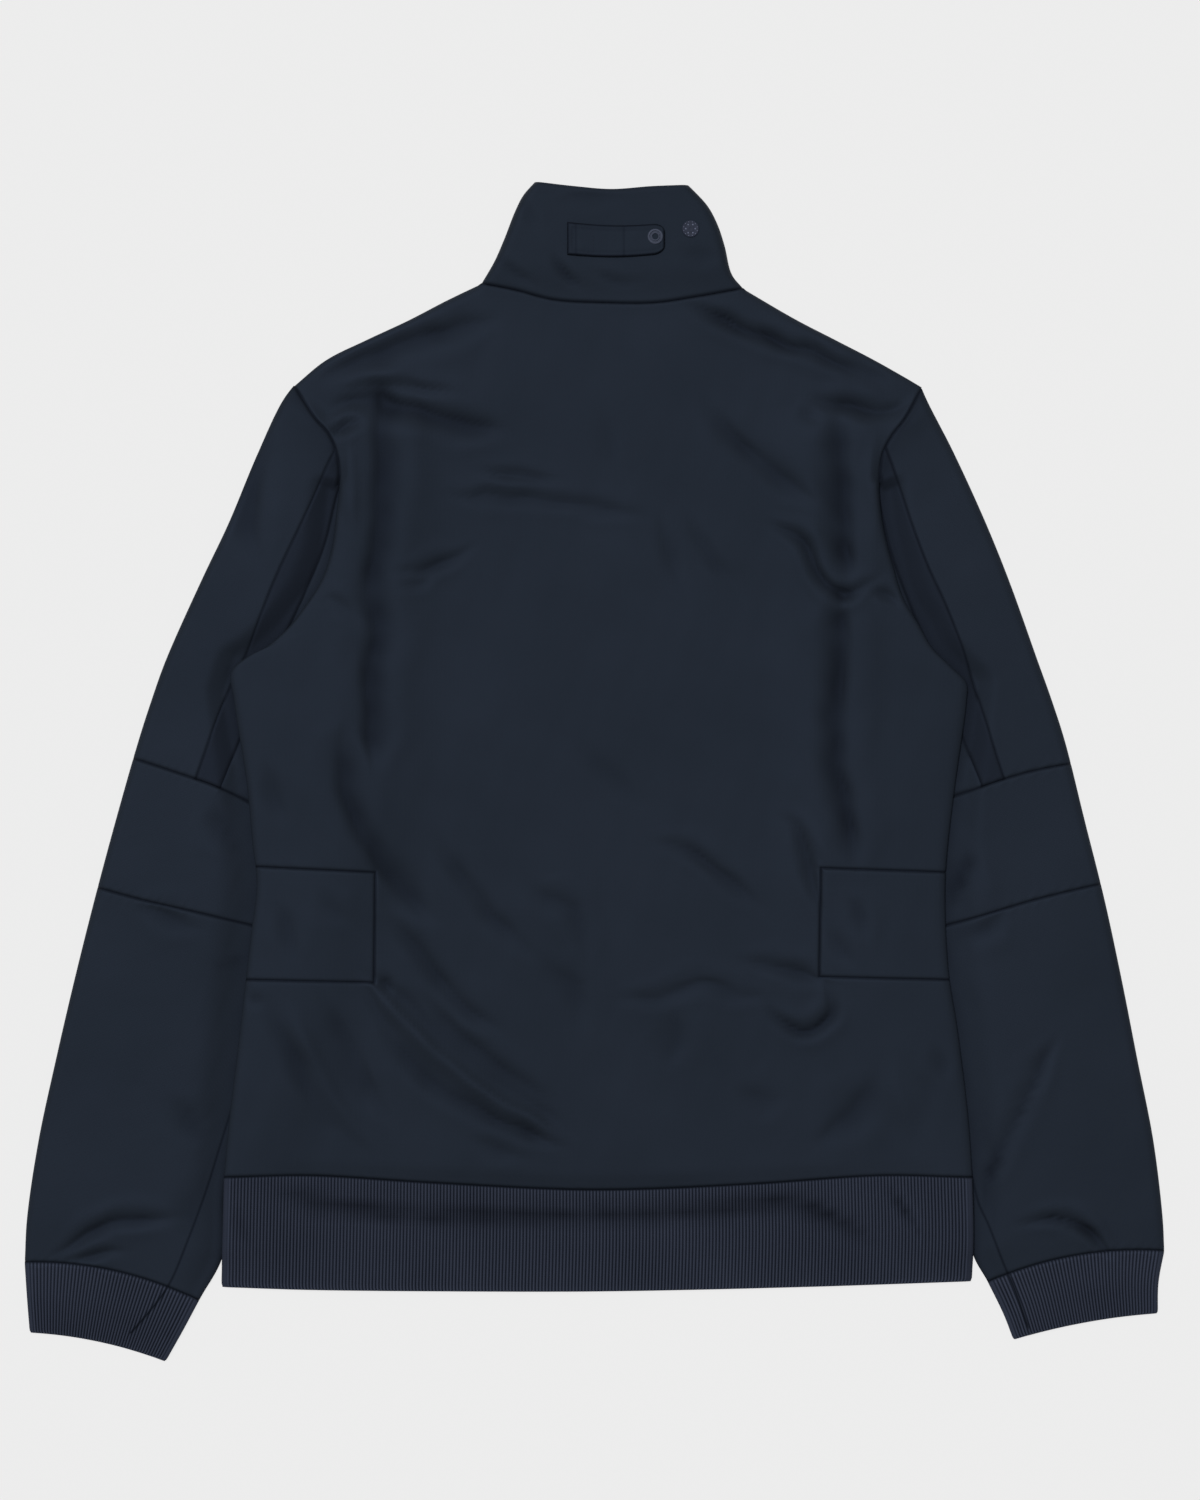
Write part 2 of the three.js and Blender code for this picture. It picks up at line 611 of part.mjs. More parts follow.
function foldedSolid(shape) {
  const { upper, lower, widthAt, rowsAt, thick, topHeight, floorAt, open, ribs } = shape;
  const over = shape.topShares ?? ((v) => stepsAcross(widthAt(v), shape.topCount));
  const overPlain = ribs ? (v) => stepsAcross(widthAt(v), shape.plainCount) : over;
  const spaced = (v) => stepsAcross(widthAt(v), shape.underCount, [0, 1.6, ROLL]);
  const under = shape.underShares ?? ((v) => spaced(v).slice(1, -1).reverse());
  const round = open ? OPEN_ROUND : CLOSED_ROUND;
  const layout = (shares, v) => {
    const top = shares(v).map((s) => ({ s, top: true, at: s }));
    const below = under(v).map((s) => ({ s, top: false, at: 2 - s }));
    if (!open) return [...top, ...below];
    const leftHalf = below.filter(({ s }) => s < 0.5).map((item) => ({ ...item, at: -item.s }));
    const rightHalf = below.filter(({ s }) => s > 0.5);
    const lips = [-0.5, 1.5].map((at) => ({ s: 0.5, top: false, at, lip: at }));
    return [lips[0], ...leftHalf, ...top, ...rightHalf, lips[1]];
  };
  const place = ({ s: share, top, lip }, v, inward) => {
    const width = widthAt(v);
    const s = mix(inward / width, 1 - inward / width, share);
    const point = (top ? upper : lower)(s, v, lip);
    const edge = Math.min(s, 1 - s) * width - inward;
    const rise = roll(Math.max(edge, 0));
    const middle = floorAt(point.x, point.y, true) + shape.edgeHeight;
    const half = top
      ? Math.max(topHeight(point.x, point.y, s, v) - middle, THINNEST_HALF)
      : middle - floorAt(point.x, point.y);
    const reach = inward > 0 ? Math.max(0.3 * rise, half * rise - thick) : half * rise;
    point.z = top ? middle + reach : middle - reach;
    return point;
  };
  const build = (shares, inward) => {
    const rows = rowsAt.map((v) => layout(shares, v).map((item) => place(item, v, inward)));
    const at = layout(shares, rowsAt[0]).map((item) => (item.at + 0.5) / round);
    return { rows, at };
  };
  const outer = build(over, 0);
  const inner = build(overPlain, thick);
  if (ribs) raiseRibs(outer, ribs, round);
  return wallSolid(outer, inner, !open);
}

// Ribs: every other point of the upper layer up, the rest down, none at the folds.
function raiseRibs(grid, relief, round) {
  for (const row of grid.rows) {
    row.forEach((point, c) => {
      const s = grid.at[c] * round - 0.5;
      if (s > 0.02 && s < 0.98) point.z += (c % 2 ? relief : -relief) / 2;
    });
  }
}

function sleeveShape(rows, name) {
  const outer = curveOf(rows.map((row) => [row[0], row[1]]));
  const inner = curveOf(rows.map((row) => [row[2], row[3]]));
  const crownAndBow = curveOf(rows.map((row) => [row[4], row[5]]));
  const plan = (s, v) => {
    const from = outer.getPoint(v);
    const to = inner.getPoint(v);
    const bow = crownAndBow.getPoint(v).y * 4 * s * (1 - s);
    const up = new THREE.Vector3(to.y - from.y, from.x - to.x, 0).normalize();
    return from.lerp(to, s).addScaledVector(up, up.y < 0 ? -bow : bow);
  };
  const widthAt = (v) => outer.getPoint(v).distanceTo(inner.getPoint(v));
  const side = name === "left" ? -1 : 1;
  // Where the body's edge crosses a section, as a share across it
  const crossed = (v) => spread(240).find((s) => {
    const point = plan(s, v);
    return (point.x - bodyEdge[name](point.y)) * side < 0;
  }) ?? 1;
  // 1 where the sleeve is sewn to the body, 0 where the body lies over it
  const sewn = (v) => smoothstep(ARMHOLE_LOW[name] + 4, ARMHOLE_LOW[name] + 26, plan(crossed(v), v).y);
  const pressedFrom = (v) => {
    const margin = mix(UNDER_BODY, -4, sewn(v));
    return clamp(crossed(v) - margin / widthAt(v), 0.3, 1 - 3 / widthAt(v));
  };
  const topShares = (v) => {
    const width = widthAt(v);
    const from = pressedFrom(v);
    const hidden = (1 - from) * width;
    const visible = spread(4).slice(1).map((share) => mix(ROLL / width, from, share));
    const near = [[ROLL, 0.35], [2.4, 0.2], [0.7, 0.08], [0, 0]];
    const turns = [hidden / 2, ...near.map(([most, share]) => Math.min(most, hidden * share))];
    const outside = [0, 0.7, 2.4, ROLL].map((distance) => distance / width);
    return [...outside, ...visible, ...turns.map((distance) => 1 - distance / width)];
  };
  const seam = curveOf((side < 0 ? SIDE_LEFT : SIDE_RIGHT).slice(-5)).getPoints(24);
  const topHeight = (x, y, s, v) => {
    const from = pressedFrom(v);
    const loose = s <= from + 1e-6 ? sewn(v) : 0;
    const dome = crownAndBow.getPoint(v).x * (0.75 + 0.25 * Math.sin(Math.PI * clamp(s, 0, 1)));
    const folded = dome + foldsAt(SLEEVE_FOLDS, x, y);
    const nearSeam = smoothstep(18, 0, nearest(seam, x, y)) * loose;
    const limit = PRESSED + 12 * loose + PRESS_SLOPE * Math.max(from - s, 0) * widthAt(v);
    return Math.min(mix(folded, armholeHeight(y) - 0.2, nearSeam), limit);
  };
  return { upper: plan, lower: plan, widthAt, topShares, topHeight };
}

const sides = [
  { name: "left", side: -1, sleeve: SLEEVE_LEFT, cuff: CUFF_LEFT, edge: sideLeft },
  { name: "right", side: 1, sleeve: SLEEVE_RIGHT, cuff: CUFF_RIGHT, edge: sideRight },
];

const TAPE_DEPTH = 1.65; // the tape is parted from the upper layer only, above this height

function sleeves() {
  const between = [0.5, 1.5, 2.5, 3.5, 4.5];
  for (const { name, side, sleeve, edge } of sides) {
    const last = sleeve.length - 1;
    const rowsAt = [...sleeve.keys(), ...between].sort((a, b) => a - b).map((row) => row / last);
    const tube = foldedSolid({
      ...sleeveShape(sleeve, name), rowsAt, underCount: 2, thick: CLOTH,
      floorAt: () => 0, edgeHeight: PRESSED / 2,
    });
    // The body's outline above the place where it starts to lie over the sleeve
    const seam = backRows.map((v) => edge(v)).filter((point) => point.y > ARMHOLE_LOW[name]);
    for (const point of seam) point.x += side * SEAM * 1.2;
    const first = seam[0].clone().setY(ARMHOLE_LOW[name] + 1.5);
    const shoulderEnd = seam.at(-1).clone().add(new THREE.Vector3(-side * 3, 30, 0));
    const inside = [new THREE.Vector3(0, 330, 0), new THREE.Vector3(0, first.y, 0)];
    const bodySide = prism([first, ...seam, shoulderEnd, ...inside], BELOW, ABOVE);
    const parted = tube.subtract(bodySide)
      .subtract(blade(ELBOW_TOP[name], BELOW, ABOVE))
      .subtract(blade(ELBOW_LOW[name], BELOW, ABOVE));
    const upper = pieceAt(parted, side * 280, 110);
    const [main, strip] = bySize(upper
      .subtract(blade(TAPE_OUTER[name], TAPE_DEPTH, ABOVE))
      .subtract(blade(TAPE_INNER[name], TAPE_DEPTH, ABOVE)));
    addPiece("upper_sleeve_" + name, main, "cloth");
    addPiece("sleeve_tape_" + name, strip, "tape");
    addPiece("elbow_band_" + name, pieceAt(parted, side * 300, -40), "cloth");
    addPiece("lower_sleeve_" + name, pieceAt(parted, side * 330, -220), "cloth");
  }
}

function cuffs() {
  for (const { name, cuff } of sides) {
    const { upper, lower, widthAt, topHeight } = sleeveShape(cuff, name);
    addPiece("cuff_rib_" + name, foldedSolid({
      upper, lower, widthAt, topHeight, rowsAt: spread(2), topCount: CUFF_RIBS * 2, plainCount: 5,
      underCount: 2, thick: RIB_KNIT, floorAt: () => 0, edgeHeight: RIB_FOLD, ribs: RIB_RELIEF,
    }), "rib");
  }
}

// The lower layer of a strip that is open at the zip: left part to 0.5, right part from there.
function splitLower(leftPatch, rightPatch) {
  return (s, v, lip) => {
    const onLeft = lip === undefined ? s < 0.5 : lip < 0;
    return onLeft ? leftPatch(clamp(s * 2, 0, 1), v) : rightPatch(clamp(s * 2 - 1, 0, 1), v);
  };
}

// An edge moved down or up by one seam gap at its one end, so that it meets the moved seam.
const eased = (edge, shift, atEnd) => (v) =>
  edge(v).add(new THREE.Vector3(0, shift * (atEnd ? v : 1 - v), 0));

const HEM_WIDTH = 523;

function hemRib() {
  const bottom = chained([HEM_BOTTOM]);
  const top = (u) => hemSeam(u).add(new THREE.Vector3(0, -SEAM, 0));
  const left = eased(chained([HEM_END_LEFT]), -SEAM, true);
  const right = eased(chained([HEM_END_RIGHT]), -SEAM, true);
  const zipX = CHAIN_WIDTH / 2 + SEAM;
  const zip = (x) => (v) => new THREE.Vector3(x, mix(ZIP_LOW, ZIP_AT_HEM_SEAM - 3 * SEAM, v), 0);
  const half = (edge, from, to) => (u) => edge(mix(from, to, u));
  const underTop = (u) => hemSeam(u).add(new THREE.Vector3(0, -2 * SEAM, 0));
  const underLeft = eased(chained([HEM_END_LEFT]), -2 * SEAM, true);
  const underRight = eased(chained([HEM_END_RIGHT]), -2 * SEAM, true);
  const leftHalf = (edge) => half(edge, 0, ZIP_SHARE);
  const rightHalf = (edge) => half(edge, 1 - ZIP_SHARE, 1);
  const lowerLeft = patch(leftHalf(bottom), leftHalf(underTop), underLeft, zip(-zipX));
  const lowerRight = patch(rightHalf(bottom), rightHalf(underTop), zip(zipX), underRight);
  const topHeight = (x, y, s) => {
    const puff = HEM_PUFF * Math.sqrt(Math.max(4 * s * (1 - s), 0));
    const up = Math.sin(Math.PI * clamp((y - ZIP_LOW) / 80, 0.12, 0.9));
    return groundAt(x, y, RAMP_BACK) + HEM_SEAM_HEIGHT - 0.5 + puff * up;
  };
  addPiece("hem_rib", foldedSolid({
    upper: patch(bottom, top, left, right), lower: splitLower(lowerLeft, lowerRight),
    widthAt: () => HEM_WIDTH, rowsAt: spread(2),
    topCount: HEM_RIBS * 2, plainCount: 16, underCount: 16,
    thick: RIB_KNIT, topHeight, floorAt: (x, y) => groundAt(x, y, RAMP_FRONT),
    edgeHeight: RIB_FOLD, open: true, ribs: RIB_RELIEF,
  }), "rib");
}

const COLLAR_WIDTH = { low: 183, top: 108 };

function collar() {
  const left = eased(chained([COLLAR_LEFT]), SEAM, false);
  const right = eased(chained([COLLAR_RIGHT]), SEAM, false);
  const seamUp = new THREE.Vector3(0, SEAM, 0);
  const neck = (u) => chained([NECK])(u).add(seamUp);
  const zipX = CHAIN_WIDTH / 2 + SEAM;
  const zipLow = ZIP_AT_NECK_SEAM + 3 * SEAM;
  const zip = (x) => (v) => new THREE.Vector3(x, mix(zipLow, ZIP_AT_COLLAR_TOP, v), 0);
  const base = (rows) => (u) => chained([rows])(u).addScaledVector(seamUp, 2);
  const underLeft = eased(chained([COLLAR_LEFT]), 2 * SEAM, false);
  const underRight = eased(chained([COLLAR_RIGHT]), 2 * SEAM, false);
  const topLeft = chained([COLLAR_UNDER_LEFT]);
  const topRight = chained([COLLAR_UNDER_RIGHT]);
  const lowerLeft = patch(base(FRONT_NECK_LEFT), topLeft, underLeft, zip(-zipX));
  const lowerRight = patch(base(FRONT_NECK_RIGHT), topRight, zip(zipX), underRight);
  // Columns stand where those of the back and the fronts do.
  const collarWidth = (v) => mix(COLLAR_WIDTH.low, COLLAR_WIDTH.top, v);
  const topShares = (v) => {
    const turns = [0, 0.7, 2.4, ROLL].map((distance) => distance / collarWidth(v));
    const middle = spread(NECK_COLUMNS).slice(1, -1);
    return [...turns, ...middle, ...turns.map((share) => 1 - share).reverse()];
  };
  const underShares = (v) => {
    const left = [1.6 / collarWidth(v), ROLL / collarWidth(v), 0.125, 0.25, 0.375];
    return [...left.map((share) => 1 - share), ...left.reverse()];
  };
  addPiece("collar", foldedSolid({
    upper: patch(neck, chained([COLLAR_TOP]), left, right), lower: splitLower(lowerLeft, lowerRight),
    widthAt: collarWidth, rowsAt: spread(6), topShares, underShares,
    thick: COLLAR_KNIT, topHeight: collarHeight, edgeHeight: COLLAR_KNIT + 1,
    floorAt: (x, y, atEdge) => (atEdge ? 0 : liftBeside(x, y)), open: true,
  }), "cloth");
}

// The strap on the collar, its end snap and the snap beside it
const TAB = { left: -19, right: 49, low: 361, high: 384, thick: 1.6, round: 9, sag: 3 };
const TAB_SNAP = { x: 42.4, y: 373.4, outer: 5.4, hole: 2, height: 1.2 };
const COLLAR_SNAP = { x: 67, y: 379, outer: 6, height: 1.6, plate: 0.9, knob: 1.7 };

function collarTab() {
  const halfHeight = (TAB.high - TAB.low) / 2;
  const middleY = (TAB.high + TAB.low) / 2;
  const us = [...spread(10).map((share) => share * 0.87), 0.92, 0.97, 1];
  const vs = spread(4);
  const at = (u, v) => {
    const x = mix(TAB.left, TAB.right, u);
    const intoEnd = clamp((x - (TAB.right - TAB.round)) / TAB.round, 0, 1);
    const half = halfHeight - TAB.round * 0.75 * (1 - Math.sqrt(1 - intoEnd ** 2));
    const sag = -TAB.sag * Math.sin(Math.PI * u);
    return new THREE.Vector3(x, middleY + sag + mix(-half, half, v), 0);
  };
  const height = ({ x, y }) => collarHeight(x, y) + SEAM + TAB.thick;
  const strap = panelSolid({ at, us, vs, height, thick: TAB.thick, normalAt: straightUp });
  addPiece("collar_tab", strap, "cloth");
}

function turned(profile, x, y, z) {
  const points = profile.map(([radius, up]) => new THREE.Vector2(radius, up));
  const geometry = new THREE.LatheGeometry(points, 16);
  return solidFrom(geometry.rotateX(Math.PI / 2).translate(x, y, z));
}

function snaps() {
  const { outer, hole, height } = TAB_SNAP;
  const ring = [
    [hole, 0], [outer, 0], [outer, height / 2], [outer - 0.8, height],
    [hole + 0.9, height], [hole, height / 2], [hole, 0],
  ];
  const onTab = collarHeight(TAB_SNAP.x, TAB_SNAP.y) + TAB.thick + 2 * SEAM;
  addPiece("tab_snap", turned(ring, TAB_SNAP.x, TAB_SNAP.y, onTab), "hard");
  const { outer: rim, plate, knob } = COLLAR_SNAP;
  const disc = [
    [0, 0], [rim, 0], [rim, plate / 2], [rim - 1, plate],
    [knob + 0.5, plate], [knob, COLLAR_SNAP.height], [0, COLLAR_SNAP.height],
  ];
  const onCollar = collarHeight(COLLAR_SNAP.x, COLLAR_SNAP.y) + SEAM;
  addPiece("collar_snap", turned(disc, COLLAR_SNAP.x, COLLAR_SNAP.y, onCollar), "hard");
}

// The zip: its chain from the waistband to the slider near the top of the collar
function zip() {
  const end = SLIDER.y + SLIDER.half / 2 - SEAM;
  const half = CHAIN_WIDTH / 2;
  const vs = [ZIP_LOW, -290, -100, 100, 290, 305, 320, 335, 350, 368, end];
  const at = (u, y) => new THREE.Vector3(mix(-half, half, u), y, 0);
  const height = (point, u, y) => chainLift(y) + CHAIN_THICK;
  const us = [0, 0.5, 1];
  const chain = panelSolid({ at, us, vs, height, thick: CHAIN_THICK, normalAt: straightUp });
  addPiece("zip_chain", chain, "hard");

  // Both come from outlines seen from the side, drawn as [y, z] and given a width along x.
  const upright = (rows, width) => {
    const shape = new THREE.Shape(rows.map(([y, z]) => new THREE.Vector2(y, z)));
    const geometry = new THREE.ExtrudeGeometry(shape, { depth: width, bevelEnabled: false });
    const [alongX, alongY, alongZ] = [[1, 0, 0], [0, 1, 0], [0, 0, 1]].map(
      (axis) => new THREE.Vector3(...axis));
    geometry.applyMatrix4(new THREE.Matrix4().makeBasis(alongY, alongZ, alongX));
    return solidFrom(geometry.translate(-width / 2, 0, 0));
  };
  const { y, half: reach, plate, bottom, bridge } = SLIDER;
  const inside = bottom + plate;
  const top = CHAIN_RISE + CHAIN_THICK + SEAM;
  const body = upright([
    [y - reach, bottom], [y + reach, bottom], [y + reach, top + plate], [y - reach, top + plate],
    [y - reach, top], [y + reach / 2, top], [y + reach / 2, inside], [y - reach, inside],
  ], SLIDER.width);
  const { reach: far, wall, foot } = ARCH;
  const near = far - wall;
  const joined = bottom + plate / 4;
  const arch = upright([
    [y - far, joined], [y - far, foot], [y + far, foot], [y + far, joined],
    [y + near, joined], [y + near, foot + wall], [y - near, foot + wall], [y - near, joined],
  ], bridge);
  addPiece("zip_slider", body.add(arch), "hard");

  // The pull's bar is as high as it is thick, so its axis runs along its middle.
  const points = (rows) => rows.map(([px, py]) => new THREE.Vector2(px, py));
  const { reach: tip, neck, chamfer } = PULL;
  const bar = PULL.thick / 2;
  const side = PULL.width / 2;
  const eye = PULL.eye / 2;
  const outline = new THREE.Shape(points([
    [-side, bar], [-side, -tip + chamfer], [-side + chamfer, -tip],
    [side - chamfer, -tip], [side, -tip + chamfer], [side, bar],
  ]));
  outline.holes.push(new THREE.Path(points([
    [-eye, -bar], [eye, -bar], [eye, -neck], [-eye, -neck],
  ])));
  const tab = new THREE.ExtrudeGeometry(outline, { depth: PULL.thick, bevelEnabled: false });
  addPiece("zip_pull", solidFrom(tab.translate(0, y, PULL.z - PULL.thick / 2)), "hard");
}

backPanel();
fronts();
sleeves();
cuffs();
hemRib();
collar();
collarTab();
snaps();
zip();

export default jacket;
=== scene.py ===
# %% [markdown]
# # A track jacket, laid flat on its front
# The real jacket is cut from thin knitted cloth and sewn. It lies face down, so the picture shows
# its back. Each sewn piece is built here as a fine grid of points that follows the same outlines
# as the solid part, with its folds, seams and real thickness. The solid part comes first, as a
# frame that every piece rides on.

# %% Open the frame
import math

import bpy
import numpy as np
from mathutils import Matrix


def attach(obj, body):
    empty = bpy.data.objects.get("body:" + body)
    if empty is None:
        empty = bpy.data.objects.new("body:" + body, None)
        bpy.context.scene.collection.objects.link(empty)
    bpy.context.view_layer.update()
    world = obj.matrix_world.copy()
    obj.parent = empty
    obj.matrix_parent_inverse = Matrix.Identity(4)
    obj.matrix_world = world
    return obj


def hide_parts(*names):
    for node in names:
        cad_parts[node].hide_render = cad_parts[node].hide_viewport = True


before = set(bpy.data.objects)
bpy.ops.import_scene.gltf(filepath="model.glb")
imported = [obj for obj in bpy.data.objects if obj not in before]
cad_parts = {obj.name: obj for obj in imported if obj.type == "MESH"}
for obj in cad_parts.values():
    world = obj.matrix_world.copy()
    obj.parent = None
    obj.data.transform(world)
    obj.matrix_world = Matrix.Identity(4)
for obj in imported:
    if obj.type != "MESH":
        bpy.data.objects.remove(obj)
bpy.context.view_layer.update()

# %% [markdown]
# ## Numbers of the cloth
# Lengths are in millimetres, because that is how a pattern cutter works. They turn into metres
# only when a mesh is made. +X is the wearer's right, +Y the collar and +Z up.

# %% Thicknesses, and the size of a grid square
CLOTH = 1.3
COLLAR_KNIT = 1.8
RIB_KNIT = 2.0
LAYER = 0.6
SEAM = 0.3
TO_METRES = 0.001
PITCH = 3.2
print("a grid square of cloth is", PITCH, "mm wide")

# %% [markdown]
# ## Outlines
# A pattern piece is known by its outline. Each table holds rows of x and y along one edge, read
# from the real jacket's proportions. Sleeves and cuffs have a row for each section: the outer
# end's x and y, the inner end's x and y, the height of the crown and the bow of the section.

# %% Outlines of the body
SIDE_LEFT = (
    (-259, -283), (-255, -241), (-248, -183), (-240, -113), (-236, -78), (-239, -50),
    (-243, -8), (-252, 50), (-254, 70), (-245, 79), (-230, 87), (-215, 100), (-203, 115),
    (-191, 134), (-184, 155), (-180, 184), (-178, 205), (-180, 223), (-186, 237), (-194, 246),
    (-210, 270),
)
SIDE_RIGHT = (
    (264, -283), (261, -241), (254, -183), (247, -136), (245, -80), (247, -50), (252, -8),
    (260, 50), (260, 62), (249, 74), (236, 87), (226, 104), (216, 121), (208, 146), (203, 165),
    (200, 184), (199, 204), (201, 222), (207, 234), (216, 246), (229, 269),
)
SHOULDER_LEFT = (
    (-210, 270), (-188, 288), (-160, 302), (-130, 316), (-103, 330), (-79, 341.5),
)
SHOULDER_RIGHT = (
    (104, 338), (140, 317), (169, 302), (196, 288), (219, 275), (229, 269),
)
NECK = (
    (-79, 341.5), (-56, 337), (-28, 330), (7, 328), (42, 328), (70, 332), (104, 338),
)
HEM_SEAM = (
    (-259, -283), (-199, -282), (-115, -287), (0, -292), (109, -288), (200, -282), (264, -283),
)
HEM_BOTTOM = (
    (-261, -360), (-200, -362), (-100, -363), (4, -363), (144, -360), (264, -356),
)
HEM_END_LEFT = (
    (-261, -360), (-260, -322), (-259, -283),
)
HEM_END_RIGHT = (
    (264, -356), (265, -322), (264, -283),
)
FRONT_NECK_LEFT = (
    (-79, 341.5), (-66, 318), (-40, 298), (-4.3, 289),
)
FRONT_NECK_RIGHT = (
    (4.3, 289), (50, 297), (86, 315), (104, 338),
)

# %% Outlines of the collar
COLLAR_LEFT = (
    (-79, 341.5), (-70, 357), (-63, 373), (-56, 391), (-50, 403), (-42, 412.3),
)
COLLAR_RIGHT = (
    (104, 338), (96, 348), (91, 368), (86, 383), (79, 396), (66, 410),
)
COLLAR_TOP = (
    (-42, 412.3), (-14, 409), (12, 407), (40, 409), (66, 410),
)
COLLAR_UNDER_LEFT = (
    (-42, 412.3), (-22, 407), (-4.3, 405),
)
COLLAR_UNDER_RIGHT = (
    (4.3, 405), (36, 406), (66, 410),
)

# %% Sections of the sleeves and cuffs
SLEEVE_LEFT = (
    (-205.2, 276.6, -148, 256, 7.6, 0), (-218, 260, -150, 238, 8, 0),
    (-236, 222, -151, 197, 8.2, 0), (-256, 174, -152, 146, 8.4, 0),
    (-275, 134, -152, 100, 8.6, 0), (-300, 78, -155, 40, 8.8, 0), (-310, 50, -158, 10, 8.8, 0),
    (-319, 22, -163, -20, 8.8, 0), (-335, -34, -178, -74, 8.8, 0),
    (-350, -90, -197, -128, 8.8, 0), (-364, -146, -213, -180, 8.8, 0),
    (-377, -202, -232, -234, 8.6, 1), (-389, -258, -257.5, -290, 8.2, 3),
    (-397, -312, -259.5, -337, 7.6, 6), (-398.6, -342.6, -276.5, -369.5, 6, 8),
)
SLEEVE_RIGHT = (
    (227, 273, 166, 258, 7.6, 0), (232.6, 260, 169, 238, 8, 0), (251, 224, 171, 197, 8.2, 0),
    (273, 176, 172, 146, 8.4, 0), (290, 134, 172, 100, 8.6, 0), (310, 78, 173, 40, 8.8, 0),
    (320, 50, 173, 10, 8.8, 0), (329, 22, 174, -20, 8.8, 0), (343, -34, 183, -74, 8.8, 0),
    (357, -90, 200, -128, 8.8, 0), (369, -146, 220, -180, 8.8, 0),
    (380, -202, 238, -234, 8.6, 1), (391, -258, 262.5, -290, 8.2, 3),
    (397.5, -312, 264, -335, 7.6, 6), (398.6, -334.6, 275, -356.5, 6, 8),
)
CUFF_LEFT = (
    (-397.4, -343.4, -278, -369.7, 6, 7.7), (-397, -367, -288, -391, 7.5, 6),
    (-395, -392, -300, -412.3, 5, 4),
)
CUFF_RIGHT = (
    (397.4, -335.3, 277, -356.7, 6, 7.7), (394.5, -357, 286, -379, 7.5, 6),
    (394, -378.5, 293, -397, 5, 3),
)

# %% Seams across and along the sleeves
ELBOW_TOP_LEFT = (
    (-340, 14), (-324, 10), (-296, 1), (-262, -11), (-226, -28), (-150, -50),
)
ELBOW_TOP_RIGHT = (
    (350, 8), (333, 6), (299, -1), (257, -15), (220, -28), (158, -50),
)
ELBOW_LOW_LEFT = (
    (-362, -76), (-346, -81), (-313, -90), (-273, -99), (-241, -107), (-180, -124),
)
ELBOW_LOW_RIGHT = (
    (372, -74), (354, -78), (308, -89), (268, -101), (230, -112), (176, -128),
)
UNDERARM = {
    "left": ((-243, -205), (-258, -250), (-272, -295), (-285, -330), (-296, -356), (-307, -372),
             (-324, -392)),
    "right": ((260, -262), (268, -300), (275, -316), (286, -344), (293, -360), (303, -388)),
}
TAPE_OUTER_LEFT = (
    (-165, 244), (-181, 225), (-199, 186), (-224, 133), (-245, 79), (-259, 50), (-272, 14),
    (-283, -18),
)
TAPE_OUTER_RIGHT = (
    (192, 246), (204, 225), (220, 178), (233, 144), (245, 118), (257, 87), (268, 52),
    (291, -20),
)
TAPE_INNER_LEFT = (
    (-168, 222), (-178, 200), (-189, 158), (-203, 124), (-222, 82), (-240, 40), (-253, 10),
    (-267, -26),
)
TAPE_INNER_RIGHT = (
    (190, 222), (197, 197), (207, 154), (221, 116), (234, 84), (249, 45), (262, 12), (277, -26),
)

print("the sides have", len(SIDE_LEFT) + len(SIDE_RIGHT), "rows")
print("the sleeves have", len(SLEEVE_LEFT) + len(SLEEVE_RIGHT), "rows")
